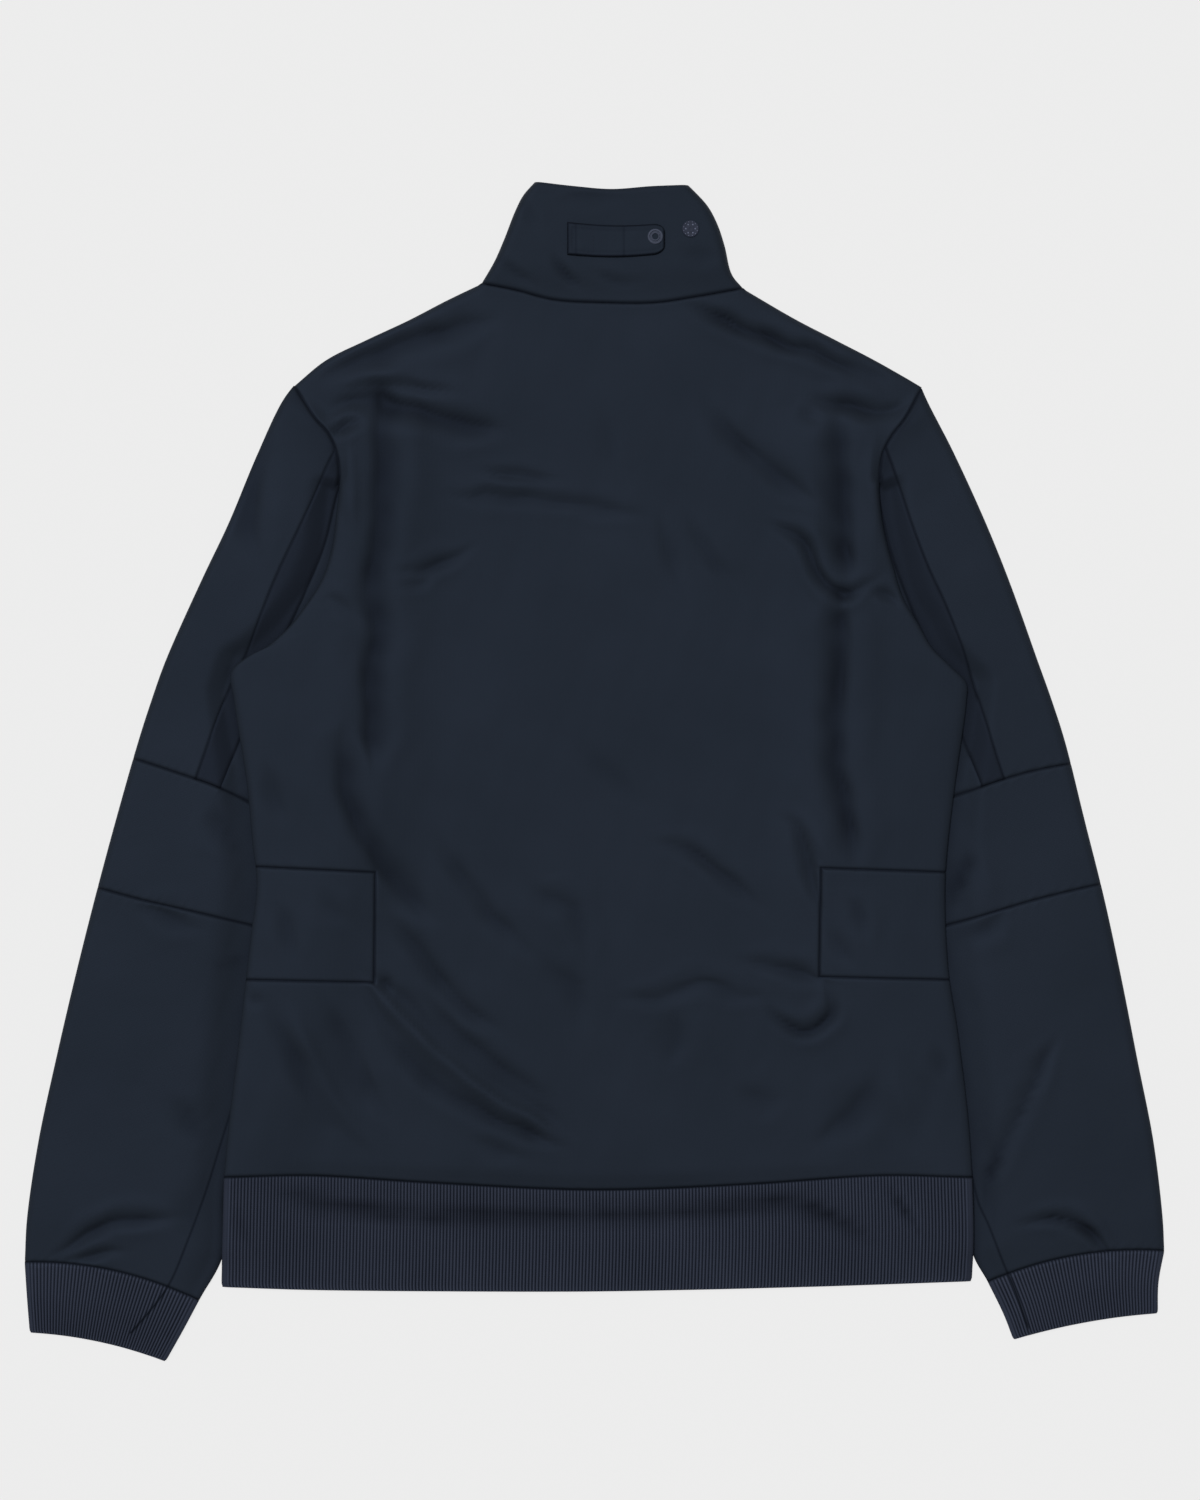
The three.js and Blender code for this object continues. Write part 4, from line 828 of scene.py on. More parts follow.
# %% Where the seams of the hip insets cross the grid
hem_seam = chain(HEM_SEAM)
back_top = chain(SHOULDER_LEFT, NECK, SHOULDER_RIGHT)
side_left, side_right = chain(SIDE_LEFT), chain(SIDE_RIGHT)
HIP_CORNERS = {"left": ((-237, -66), (-153, -70), (-154, -147), (-243, -145)),
               "right": ((247, -70), (158, -67), (157, -143), (247, -145))}


def back_plan(u, v):
    return patch(hem_seam, back_top, side_left, side_right, u, v)


def cross_row(u, wanted):
    """The share up the patch at which each column reaches a seam's y."""
    fine = np.linspace(0, 1, 401)
    found = []
    for each in u:
        points = back_plan(np.full(401, each), fine)
        found.append(np.interp(0, points[:, 1] - wanted(points[:, 0]), fine))
    return np.array(found)


def cross_column(v, wanted, low, high):
    """The share across the patch at which each row reaches a seam's x."""
    fine = np.linspace(low, high, 201)
    found = []
    for each in v:
        points = back_plan(fine, np.full(201, each))
        found.append(np.interp(0, points[:, 0] - wanted(points[:, 1]), fine))
    return np.array(found)


def hip_line(first, second):
    """One straight side of both insets, as a function of the other coordinate."""
    left = [HIP_CORNERS["left"][first], HIP_CORNERS["left"][second]]
    right = [HIP_CORNERS["right"][second], HIP_CORNERS["right"][first]]
    rows = np.array(left + right, float)
    return lambda place: np.interp(place, rows[:, 0], rows[:, 1])


hip_top = hip_line(0, 1)
hip_low = hip_line(3, 2)


def hip_left_x(y):
    return np.interp(y, (-147, -70), (-154, -153))


def hip_right_x(y):
    return np.interp(y, (-143, -67), (157, 158))


# %% The grid of the back
NECK_SHARES = (1 / 3, 2 / 3)
ACROSS = (0, 0.18, *NECK_SHARES, 0.82, 1)
UP = (0, 0.22, 0.355, 1)
BELOW_HIP, HIP_HEIGHT, ABOVE_HIP = 140, 77, 400
HIP_WIDTH, BESIDE_NECK, NECK_WIDTH = 90, 75, 166
hip_us = graded(HIP_WIDTH)
us = joined(ACROSS, hip_us, graded(BESIDE_NECK, high=False), graded(NECK_WIDTH, False, False),
            graded(BESIDE_NECK, low=False), hip_us)
us_low = len(hip_us) - 1
us_high = len(us) - len(hip_us)
vs = joined(UP, graded(BELOW_HIP), graded(HIP_HEIGHT), graded(ABOVE_HIP))
vs_low = len(graded(BELOW_HIP)) - 1
vs_high = vs_low + len(graded(HIP_HEIGHT)) - 1
low_at = cross_row(us, hip_low)
high_at = cross_row(us, hip_top)
v_grid = np.array([np.interp(vs, UP, (0, a, b, 1)) for a, b in zip(low_at, high_at)]).T
v_mean = np.clip(v_grid.mean(1), low_at.mean(), high_at.mean())
left_at = cross_column(v_mean, hip_left_x, 0.05, 0.4)
right_at = cross_column(v_mean, hip_right_x, 0.6, 0.95)
u_grid = np.array([np.interp(us, ACROSS, (0, a, *NECK_SHARES, b, 1)) for a, b in zip(left_at, right_at)])
plan = back_plan(u_grid, v_grid)
print("the back's grid is", plan.shape[0], "by", plan.shape[1])

# %% Where the back is sewn to the sleeves, the neck and the insets
ARM_SEAM = {}
for arm, edge in BODY_EDGE.items():
    points = edge.points[::6]
    ARM_SEAM[arm] = points[points[:, 1] > ARMHOLE_LOW[arm]]


def over_neck(u):
    return (u > NECK_SHARES[0] - 1e-6) & (u < NECK_SHARES[1] + 1e-6)


def along_armhole(u, y):
    return y > np.where(u < 0.5, ARMHOLE_LOW["left"], ARMHOLE_LOW["right"])


def back_seams(x, y):
    """How far each place of the back is from its nearest sewn seam."""
    hips = []
    for name, end in (("left", -262), ("right", 272)):
        corners = HIP_CORNERS[name]
        hips.append(np.array([(end, corners[0][1])] + list(corners) + [(end, corners[3][1])], float))
    lines = [seam_line(HEM_SEAM), seam_line(NECK), ARM_SEAM["left"], ARM_SEAM["right"]] + hips
    return np.min([away(line, x, y) for line in lines], axis=0)


# %% Its height, with seams, folds and rolled edges
BODY_LENGTH = 600.0
BODY_WIDTH = 500.0
BODY_PUFF = 3.2
BACK_AIR = 0.6
SEAM_SIDE = 11.0
HEM_SEAM_HEIGHT = 5.6
NECK_SINK = 0.6
HEM_SINK = 0.4


def back_height(x, y, u, v, drop=0.0):
    """The back's outer side, or a side that lies lower by drop."""
    side = np.minimum(u, 1 - u) * BODY_WIDTH
    down = (1 - v) * BODY_LENGTH
    puff = BODY_PUFF * np.sqrt(np.maximum(4 * u * (1 - u), 0))
    rest = ground(x, y, RAMP_BACK) + 2 * CLOTH + LAYER + BACK_AIR + puff + folds_at(BACK_FOLDS, x, y)
    rest = rest + 0.3 * ripples(x, y, 60, 3) + 0.1 * ripples(x, y, 24, 4)
    rim = ground(x, y, RAMP_FRONT) + CLOTH + SEAM
    sewn = mix(armhole_height(y), rest, smoothstep(0, SEAM_SIDE, side)) - drop
    z = np.where(along_armhole(u, y), sewn, mix(rim, rest - drop, roll(side)))
    neck = mix(NECK_SEAM_HEIGHT - NECK_SINK - drop, z, smoothstep(0, SEAM_SIDE, down))
    z = np.where(over_neck(u), neck, mix(CLOTH + SEAM, z, roll(down)))
    seam = np.minimum(z, ground(x, y, RAMP_BACK) + HEM_SEAM_HEIGHT - HEM_SINK - drop)
    return mix(seam, z, smoothstep(0, SEAM_SIDE, v * BODY_LENGTH))


# %% Both sides of its cloth
SEAM_DARK = 0.85
x, y = plan[..., 0], plan[..., 1]
seams = back_seams(x, y)
pucker = 0.14 * np.sin(0.75 * (x + y) + 2.2 * ripples(x, y, 40, 9)) * bell(seams, 5)
outer = with_height(plan, back_height(x, y, u_grid, v_grid) - groove(seams) + pucker)
rolled = np.where(along_armhole(u_grid, y), 0, 1.0) * CLOTH / BODY_WIDTH
u_inner = mix(rolled, 1 - rolled, u_grid)
v_inner = np.where(over_neck(u_grid), v_grid, v_grid * (1 - CLOTH / BODY_LENGTH))
inner_plan = back_plan(u_inner, v_inner)
x, y = inner_plan[..., 0], inner_plan[..., 1]
inner = with_height(inner_plan, back_height(x, y, u_inner, v_inner, CLOTH))
inner[..., 2] = np.minimum(inner[..., 2], outer[..., 2] - 0.2)
grain = with_height(plan, 0 * plan[..., 0])
# Painted shade along the seams and in the fold troughs.
dark = bell(seams, SEAM_DARK)
hollow = hollow_at(BACK_FOLDS, plan[..., 0], plan[..., 1])

# %% The three pieces of the back
row, column = np.indices((plan.shape[0] - 1, plan.shape[1] - 1))
in_band = (row >= vs_low) & (row < vs_high)
in_left = in_band & (column < us_low)
in_right = in_band & (column >= us_high)
pieces = {}
for name, use in (("back_panel", ~in_left & ~in_right), ("hip_panel_left", in_left),
                  ("hip_panel_right", in_right)):
    pieces[name] = wall("sewn_" + name, outer, inner, use, seam=dark, grain=grain, hollow=hollow)

# %% [markdown]
# ## The two fronts
# They lie under the back, flat on the table, and only a low view shows them. Without them the
# jacket would be open from below. Each is a plain panel from the side to the zip, with the same
# thickness and finish as the back.

# %% Fronts
ZIP_SHARE = 0.492
ZIP_EDGE = 4.3
ZIP_AT_HEM = -291.7
ZIP_AT_NECK = 288.7
FRONT_WIDTH = 250


def straight(x, low, high):
    return lambda v: np.stack([np.full(np.shape(v), float(x)), mix(low, high, v)], -1)


def half_of(edge, start, end):
    return lambda u: edge(mix(start, end, u))


def to_border(u, v, width, length):
    """How far each place of a panel is from its nearest edge."""
    return np.minimum(np.minimum(u, 1 - u) * width, np.minimum(v, 1 - v) * length)


def front_outline(name):
    """The bottom, top, left and right edge of a front."""
    if name == "left":
        hem, top = half_of(hem_seam, 0, ZIP_SHARE), chain(SHOULDER_LEFT, FRONT_NECK_LEFT)
        return hem, top, side_left, straight(-ZIP_EDGE, ZIP_AT_HEM, ZIP_AT_NECK)
    hem, top = half_of(hem_seam, 1 - ZIP_SHARE, 1), chain(FRONT_NECK_RIGHT, SHOULDER_RIGHT)
    return hem, top, straight(ZIP_EDGE, ZIP_AT_HEM, ZIP_AT_NECK), side_right


def front(name):
    u, v = np.meshgrid(graded(FRONT_WIDTH, pitch=7), graded(BODY_LENGTH, pitch=7))
    plan = patch(*front_outline(name), u, v)
    x, y = plan[..., 0], plan[..., 1]
    low = ground(x, y, RAMP_FRONT) + lift_beside(x, y)
    edge = bell(to_border(u, v, FRONT_WIDTH, BODY_LENGTH), 1.2)
    outer = with_height(plan, low + CLOTH - 0.2 * edge)
    return wall("sewn_front_" + name, outer, with_height(plan, low), all_squares(u), seam=edge,
                grain=with_height(plan, 0 * x), hollow=0 * x)


pieces["front_left"] = front("left")
pieces["front_right"] = front("right")

# %% [markdown]
# ## Sleeves
# A sleeve is a tube that lies flat. A squashed cylinder would put its seams in the wrong places,
# so its grid is drawn: over the top from the outer fold to the inner one, and back underneath.
# Lines of the grid follow the elbow seams and both edges of the tape, and where the sleeve is
# sewn to the body the grid ends at the armhole.

# %% A tube from its sections
UNDER_BODY = 8.0
PRESS_SLOPE = 0.4
LEAST_HALF = 0.9
LEAST_REACH = 0.3


def reach_from(half, rise, inward):
    """How far the cloth stands off the tube's middle, on its outer or its inner side."""
    if inward:
        return np.maximum(LEAST_REACH * rise, half * rise - inward)
    return half * rise


def rise_at_folds(share, width, inward):
    return roll(np.maximum(np.minimum(share, 1 - share) * width - inward, 0))


class Tube:
    """A flattened tube: s runs across it, from 0 at the outer fold, and v along it."""

    def __init__(self, rows, name):
        rows = np.array(rows, float)
        self.name = name
        self.side = -1 if name == "left" else 1
        self.outer, self.inner = Line(rows[:, :2]), Line(rows[:, 2:4])
        self.places = np.linspace(0, 1, len(rows))
        self.crowns, self.bows = rows[:, 4], rows[:, 5]
        fine = np.linspace(0, 1, 600)
        self.fine = fine
        self.crossings = np.array([self.first_inside(v) for v in fine])
        crossing_y = self.plan(self.crossings, fine)[:, 1]
        self.sewn_share = smoothstep(ARMHOLE_LOW[name] - 4, ARMHOLE_LOW[name] + 3, crossing_y)

    def plan(self, s, v):
        start, end = self.outer.row(v), self.inner.row(v)
        along = end - start
        up = np.stack([along[..., 1], -along[..., 0]], -1)
        up /= np.hypot(up[..., 0], up[..., 1])[..., None]
        up *= np.where(up[..., 1:] < 0, -1, 1)
        bow = np.interp(v, self.places, self.bows) * 4 * s * (1 - s)
        return start + along * s[..., None] + up * bow[..., None]

    def width(self, v):
        return np.hypot(*np.moveaxis(self.outer.row(v) - self.inner.row(v), -1, 0))

    def first_inside(self, v):
        """Where a section crosses the body's edge."""
        s = np.linspace(0, 1, 481)
        points = self.plan(s, np.full(481, v))
        inside = (points[:, 0] - BODY_EDGE[self.name].x(points[:, 1])) * self.side < 0
        return s[np.argmax(inside)] if inside.any() else 1.0

    def sewn(self, v):
        return np.interp(v, self.fine, self.sewn_share)

    def pressed_from(self, v):
        margin = mix(UNDER_BODY, -4, self.sewn(v))
        crossing = np.interp(v, self.fine, self.crossings)
        return np.clip(crossing - margin / self.width(v), 0.3, 1 - 3 / self.width(v))

    def top(self, s, v, x, y):
        start = self.pressed_from(v)
        loose = np.where(s <= start + 0.02, self.sewn(v), 0)
        dome = np.interp(v, self.places, self.crowns) * (0.75 + 0.25 * np.sin(np.pi * np.clip(s, 0, 1)))
        folded = dome + folds_at(SLEEVE_FOLDS, x, y) + 0.14 * ripples(x, y, 60, 5)
        folded += 0.05 * ripples(x, y, 20, 6)
        near = smoothstep(18, 0, away(ARM_SEAM[self.name], x, y)) * loose
        limit = PRESSED + 12 * loose + PRESS_SLOPE * np.maximum(start - s, 0) * self.width(v)
        capped = -np.logaddexp(-folded * 2, -limit * 2) / 2
        return mix(np.where(folded < limit - 1.5, folded, capped), armhole_height(y) - 0.2, near)

    def point(self, s, v, is_top, inward, middle_height):
        """Points of one side of the tube's cloth, inward by the cloth's thickness or not."""
        width = self.width(v)
        share = mix(inward / width, 1 - inward / width, s)
        plan = self.plan(share, v)
        x, y = plan[..., 0], plan[..., 1]
        rise = rise_at_folds(share, width, inward)
        above = np.maximum(self.top(share, v, x, y) - middle_height, LEAST_HALF)
        reach = reach_from(np.where(is_top, above, middle_height), rise, inward)
        return with_height(plan, middle_height + np.where(is_top, reach, -reach))


def crossing_along(tube, s, rows):
    """v at which each column of the tube meets a seam that runs across it."""
    line = Line(rows)
    fine = np.linspace(0, 1, 900)
    found = []
    for each in np.atleast_1d(s):
        points = tube.plan(np.full(900, each), fine)
        above = points[:, 1] - line.y(points[:, 0])
        found.append(np.interp(0, -above, fine))
    return np.array(found)


def crossing_across(tube, v, rows, last):
    """s at which each row of the tube meets a line that runs along it."""
    line = Line(rows)
    found = []
    for each, end in zip(v, last):
        s = np.linspace(0, 1, 700)
        points = tube.plan(s, np.full(700, each))
        inside = (points[:, 0] - line.x(points[:, 1])) * tube.side < 0
        found.append(min(s[np.argmax(inside)] if inside.any() else 1.0, end))
    return np.array(found)


# %% The rows of a sleeve's grid
TAPES = {"left": (TAPE_OUTER_LEFT, TAPE_INNER_LEFT), "right": (TAPE_OUTER_RIGHT, TAPE_INNER_RIGHT)}
ELBOWS = {"left": (ELBOW_TOP_LEFT, ELBOW_LOW_LEFT), "right": (ELBOW_TOP_RIGHT, ELBOW_LOW_RIGHT)}
UPPER_ELBOW = 0.45
LOWER_ELBOW = 0.58
SEAM_LAP = 0.6


def along_elbows(tube, name):
    """A function that gives v from column and row, so that two of the rows follow the elbow seams."""
    start = np.interp(0.6, tube.crossings * tube.width(tube.fine), tube.fine)
    columns = np.linspace(0, 1, 41)
    top_at, low_at = (crossing_along(tube, columns, rows) for rows in ELBOWS[name])

    def v_at(s, t):
        a, b = np.interp(s, columns, top_at), np.interp(s, columns, low_at)
        first = mix(start, a, t / UPPER_ELBOW)
        second = mix(a, b, (t - UPPER_ELBOW) / (LOWER_ELBOW - UPPER_ELBOW))
        third = mix(b, 1, (t - LOWER_ELBOW) / (1 - LOWER_ELBOW))
        return np.where(t < UPPER_ELBOW, first, np.where(t < LOWER_ELBOW, second, third))

    return v_at


def row_ends(tube, name, v_at, ts):
    """Where each row ends: at the armhole while it is sewn, at the inner fold below that."""
    end = np.full(len(ts), 0.9)
    for _ in range(6):
        v_end = v_at(end, ts)
        crossing = np.interp(v_end, tube.fine, tube.crossings)
        y_end = tube.plan(crossing, v_end)[:, 1]
        lapped = crossing + SEAM_LAP / tube.width(v_end)
        end = np.where((y_end > ARMHOLE_LOW[name] + 1) & (ts < UPPER_ELBOW), lapped, 1.0)
    return end


def tape_edge(tube, v_at, ts, end, rows):
    """Where each row meets an edge of the tape. Below the elbow the grid goes straight on."""
    at = end
    for _ in range(5):
        at = crossing_across(tube, v_at(at, ts), rows, end)
    elbow = np.searchsorted(ts, UPPER_ELBOW)
    at[elbow + 1:] = at[elbow]
    return at


# %% Seams of a sleeve
SLEEVE_LENGTH = 680
# A painted shadow beside the body's edge on each sleeve: the strength and width of two bells.
UNDER_SHADES = ((0.22, 16.0), (0.35, 4.0))
TAPE_RAISED = 0.25
NOWHERE = 99.0


def sleeve_seams(tube, x, y, on_tape_rows):
    """How far each place is from a seam across the sleeve, and from an edge of the tape."""
    cuff_line = tube.plan(np.linspace(0, 1, 60), np.ones(60))
    across = [ARM_SEAM[tube.name], cuff_line] + [seam_line(rows) for rows in ELBOWS[tube.name]]
    near = np.min([away(line, x, y) for line in across], axis=0)
    tape_near = np.min([away(seam_line(rows), x, y) for rows in TAPES[tube.name]], axis=0)
    return near, np.where(on_tape_rows, tape_near, NOWHERE)


def sink_seams(outer, inner, near, tape_near, is_top, on_tape):
    """Moves both sides of the cloth: seams sink and pucker on top, and the tape stands up a little."""
    x, y = outer[..., 0], outer[..., 1]
    sink = groove(near) + groove(tape_near, 0.5, 0.9) * (near > 0)
    pucker = 0.12 * np.sin(0.8 * (x - y) + 2 * ripples(x, y, 40, 2)) * bell(near, 5)
    outer[..., 2] += np.where(is_top, pucker - sink, 0)
    outer[..., 2] += np.where(on_tape, TAPE_RAISED * smoothstep(0, 2, tape_near), 0)
    inner[..., 2] = np.where(is_top, np.minimum(inner[..., 2], outer[..., 2] - 0.15), inner[..., 2])


def sleeve_hollow(name, x, y, is_top):
    """Painted shade in a trough, and a painted shadow beside the body that lies over the sleeve."""
    beside_body = away(BODY_EDGE[name].points[::8], x, y)
    body_shadow = sum(strength * bell(beside_body, width) for strength, width in UNDER_SHADES)
    return np.where(is_top, np.minimum(hollow_at(SLEEVE_FOLDS, x, y) + body_shadow, 1), 0)


# %% Which squares belong to which piece of a sleeve
def too_narrow(shares):
    """Rows of squares that have no width at either end."""
    none = shares < 0.004
    return (none[:-1] & none[1:])[:, None]


def sleeve_uses(ts, marks, count, outer_tape, inner_tape, end):
    """The squares of each piece. The marks are the columns of the tape's two edges and the end."""
    rows = np.arange(len(ts) - 1)[:, None]
    cols = np.arange(count)[None, :]
    outer_edge, inner_edge, last = marks
    elbow, band = np.searchsorted(ts, (UPPER_ELBOW, LOWER_ELBOW))
    sewn_row = end < 1
    on_tape = (cols >= outer_edge) & (cols < inner_edge)
    inside = (cols >= inner_edge) & (cols < last)
    whole = np.ones((len(ts) - 1, count), bool)
    whole[sewn_row[:-1] | sewn_row[1:], last] = False
    whole &= ~(inside & too_narrow(end - inner_tape))
    whole &= ~(on_tape & too_narrow(inner_tape - outer_tape))
    return {
        "upper_sleeve_": whole & (rows < elbow) & ~on_tape,
        "sleeve_tape_": whole & (rows < elbow) & on_tape,
        "elbow_band_": whole & (rows >= elbow) & (rows < band),
        "lower_sleeve_": whole & (rows >= band),
    }


# %% Both sleeves
SLEEVES = {"left": SLEEVE_LEFT, "right": SLEEVE_RIGHT}


def sleeve(name):
    tube = Tube(SLEEVES[name], name)
    ts = joined((0, UPPER_ELBOW, LOWER_ELBOW, 1), graded(300, low=False), graded(88), graded(250))
    v_at = along_elbows(tube, name)
    end = row_ends(tube, name, v_at, ts)
    outer_tape, inner_tape = (tape_edge(tube, v_at, ts, end, rows) for rows in TAPES[name])

    top_parts = graded(95), graded(14, pitch=2.5), graded(40)
    top_q = joined((0, 1, 2, 3), *top_parts)
    q = np.concatenate([top_q, mix(3.0, 4.0, graded(130, pitch=7)[1:-1])])
    marks = np.cumsum([len(part) - 1 for part in top_parts])
    is_top = np.tile(q <= 3, (len(ts), 1))
    s = np.array([np.interp(q, (0, 1, 2, 3, 4), (0, a, b, e, 0))
                  for a, b, e in zip(outer_tape, inner_tape, end)])
    t = np.repeat(ts[:, None], len(q), axis=1)
    v = v_at(s, t)
    outer = tube.point(s, v, is_top, 0.0, PRESSED / 2)
    inner = tube.point(s, v, is_top, CLOTH, PRESSED / 2)

    x, y = outer[..., 0], outer[..., 1]
    near, tape_near = sleeve_seams(tube, x, y, is_top & (t <= UPPER_ELBOW))
    between = (s > outer_tape[:, None]) & (s < inner_tape[:, None])
    sink_seams(outer, inner, near, tape_near, is_top, is_top & between & (t < UPPER_ELBOW))
    around = np.where(is_top, s, 2 - s) * tube.width(v)
    # Painted shade along the seams and the tape's edges, in troughs and beside the body.
    values = {
        "seam": bell(near, SEAM_DARK) + 0.8 * bell(tape_near, 0.7),
        "grain": np.stack([around, v * SLEEVE_LENGTH, 0 * v], -1),
        "hollow": sleeve_hollow(name, x, y, is_top),
        "line": line_value(UNDERARM[name], x, y, is_top),
    }
    uses = sleeve_uses(ts, marks, len(q), outer_tape, inner_tape, end)
    return {base + name: wall("sewn_" + base + name, outer, inner, use, closed=True, **values)
            for base, use in uses.items()}


for side_name in SLEEVES:
    pieces.update(sleeve(side_name))

# %% [markdown]
# ## Cuffs
# A cuff is a short tube of rib knit that draws in towards the hand. An Array modifier could
# repeat one rib, but the cuff narrows, so the ribs are a wave round the tube. They are raised in
# the outer points only, so the inner side stays plain. The end is a fold of the knit, so its edge
# is rounded rather than cut.

# %% Ribs
RIB_RELIEF = 0.7


def rib_crest(q, ribs, rows):
    """1 on each rib and 0 in each valley, for every point of a grid."""
    return np.tile(0.5 + 0.5 * np.cos(2 * np.pi * ribs * q), (rows, 1))


def raise_ribs(outer, crest, share, is_top):
    """Ribs stand up on the top and only sink in below, where the band rests on the table."""
    lift = RIB_RELIEF * (crest - 0.5) * share
    outer[..., 2] += np.where(is_top, lift, -np.minimum(lift, 0))


# %% Both cuffs
CUFFS = {"left": CUFF_LEFT, "right": CUFF_RIGHT}
CUFF_RIBS = 50
CUFF_LENGTH = 50
CUFF_WIDTH = 110
RIB_MIDDLE = RIB_KNIT + 0.5
ROUNDING = 0.4


def cuff(name):
    sleeve_end = np.array(SLEEVES[name][-1], float)
    rows = np.array(CUFFS[name], float)
    rows[0, :4] = sleeve_end[:4]
    rows[0, 5] = sleeve_end[5]
    tube = Tube(rows, name)
    ts = joined((0, 1), graded(CUFF_LENGTH, high=False))
    ts = np.concatenate([ts[:-1], [0.975, 0.99, 1.0]])
    top_q = np.linspace(0, 1, CUFF_RIBS * 4 + 1)
    under_q = np.linspace(1, 2, CUFF_RIBS * 4 + 1)[1:-1]
    q = np.concatenate([top_q, under_q])
    s, v = np.meshgrid(np.where(q <= 1, q, 2 - q), ts)
    is_top = np.tile(q <= 1, (len(ts), 1))
    crest = rib_crest(q, CUFF_RIBS, len(ts))
    outer = tube.point(s, v, is_top, 0.0, RIB_MIDDLE)
    inner = tube.point(s, v, is_top, RIB_KNIT, RIB_MIDDLE)
    away_from_fold = smoothstep(0.01, 0.04, np.minimum(s, 1 - s))
    raise_ribs(outer, crest, away_from_fold, is_top)
    end = smoothstep(0.965, 1, v)[..., None]
    outer = mix(outer, mix(outer, inner, ROUNDING), end)
    distance = v * CUFF_LENGTH
    outer[..., 2] -= np.where(is_top, groove(distance, 0.8, 1.2), 0)
    grain = np.stack([s * CUFF_WIDTH, distance, 0 * s], -1)
    use = np.ones((len(ts) - 1, len(q)), bool)
    line = line_value(UNDERARM[name], outer[..., 0], outer[..., 1], is_top)
    return wall("sewn_cuff_rib_" + name, outer, inner, use, closed=True, seam=bell(distance, 0.9),
                grain=grain, hollow=0 * s, rib=mix(0.5, crest, away_from_fold), line=line)


for side_name in CUFFS:
    pieces["cuff_rib_" + side_name] = cuff(side_name)

# %% [markdown]
# ## Waistband and collar
# Both are strips that go once round and end at the zip. Laid flat, each has an upper layer that
# the picture shows and two lower halves that meet at the zip underneath. Three flat panels would
# need seams at the sides, where the real strips are only folded, so one grid goes all the way.

# %% A folded strip
def strip(upper, lower_left, lower_right, q, ts, shape, inward):
    """Points of one side of a strip. q runs from -0.5 at the zip, over the top, to 1.5."""
    s = np.where(q < 0, -q, np.where(q > 1, 2 - q, q))
    s, v = np.meshgrid(s, ts)
    q = np.tile(q, (len(ts), 1))
    is_top = (q >= 0) & (q <= 1)
    width = shape["width"](v)
    share = mix(inward / width, 1 - inward / width, s)
    plan = upper(share, v)
    left = lower_left(np.clip(share * 2, 0, 1), v)
    right = lower_right(np.clip(share * 2 - 1, 0, 1), v)
    plan = np.where((q < 0)[..., None], left, np.where((q > 1)[..., None], right, plan))
    x, y = plan[..., 0], plan[..., 1]
    rise = rise_at_folds(share, width, inward)
    middle = shape["edge_floor"](x, y) + shape["edge"]
    top = np.maximum(shape["top"](x, y, share) - middle, LEAST_HALF)
    reach = reach_from(np.where(is_top, top, middle - shape["floor"](x, y)), rise, inward)
    return with_height(plan, middle + np.where(is_top, reach, -reach)), s, v, is_top


def edges(bottom, top, left, right):
    return lambda u, v: patch(bottom, top, left, right, u, v)


# %% Waistband
HEM_RIBS = 226
HEM_WIDTH = 523
HEM_HEIGHT = 78
HEM_PUFF = 1.6
RIB_SINK = 0.5
ZIP_LOW = -363.0
ZIP_HEM_SEAM = -292


def waistband():
    bottom = chain(HEM_BOTTOM)
    left, right = chain(HEM_END_LEFT), chain(HEM_END_RIGHT)
    upper = edges(bottom, hem_seam, left, right)
    zip_left, zip_right = (straight(x, ZIP_LOW, ZIP_HEM_SEAM) for x in (-ZIP_EDGE, ZIP_EDGE))
    lower_left = edges(half_of(bottom, 0, ZIP_SHARE), half_of(hem_seam, 0, ZIP_SHARE), left, zip_left)
    lower_right = edges(half_of(bottom, 1 - ZIP_SHARE, 1), half_of(hem_seam, 1 - ZIP_SHARE, 1),
                        zip_right, right)

    def top(x, y, s):
        puff = HEM_PUFF * np.sqrt(np.maximum(4 * s * (1 - s), 0))
        up = np.sin(np.pi * np.clip((y - ZIP_LOW) / 80, 0.12, 0.9))
        folds = folds_at(HEM_FOLDS, x, y) + 0.1 * ripples(x, y, 45, 8)
        return ground(x, y, RAMP_BACK) + HEM_SEAM_HEIGHT - RIB_SINK + puff * up + folds

    def low(x, y):
        return ground(x, y, RAMP_FRONT)

    shape = {"width": lambda v: HEM_WIDTH + 0 * v, "edge": RIB_MIDDLE, "top": top, "floor": low,
             "edge_floor": low}
    per_rib = 4
    q = np.linspace(-0.5, 1.5, HEM_RIBS * 2 * per_rib + 1)
    near_fold, near_seam = [0, 0.01, 0.03, 0.06], [0.955, 0.972, 0.985, 0.994, 1]
    ts = np.concatenate([near_fold, np.linspace(0.06, 0.93, 11)[1:], near_seam])
    outer, s, v, is_top = strip(upper, lower_left, lower_right, q, ts, shape, 0.0)
    inner = strip(upper, lower_left, lower_right, q, ts, shape, RIB_KNIT)[0]
    crest = rib_crest(q, HEM_RIBS, len(ts))
    from_fold = smoothstep(0.004, 0.012, np.minimum(s, 1 - s))
    raise_ribs(outer, crest, from_fold, is_top)
    fold = smoothstep(0.04, 0, v)[..., None]
    outer = mix(outer, mix(outer, inner, ROUNDING), fold)
    distance = (1 - v) * HEM_HEIGHT
    outer[..., 2] -= np.where(is_top, groove(distance, 0.8, 1.2), 0)
    grain = np.stack([s * HEM_WIDTH, v * HEM_HEIGHT, 0 * s], -1)
    hollow = np.where(is_top, hollow_at(HEM_FOLDS, outer[..., 0], outer[..., 1]), 0)
    return wall("sewn_hem_rib", outer, inner, all_squares(s), seam=bell(distance, 0.9), grain=grain,
                hollow=hollow, rib=mix(0.5, crest, from_fold))


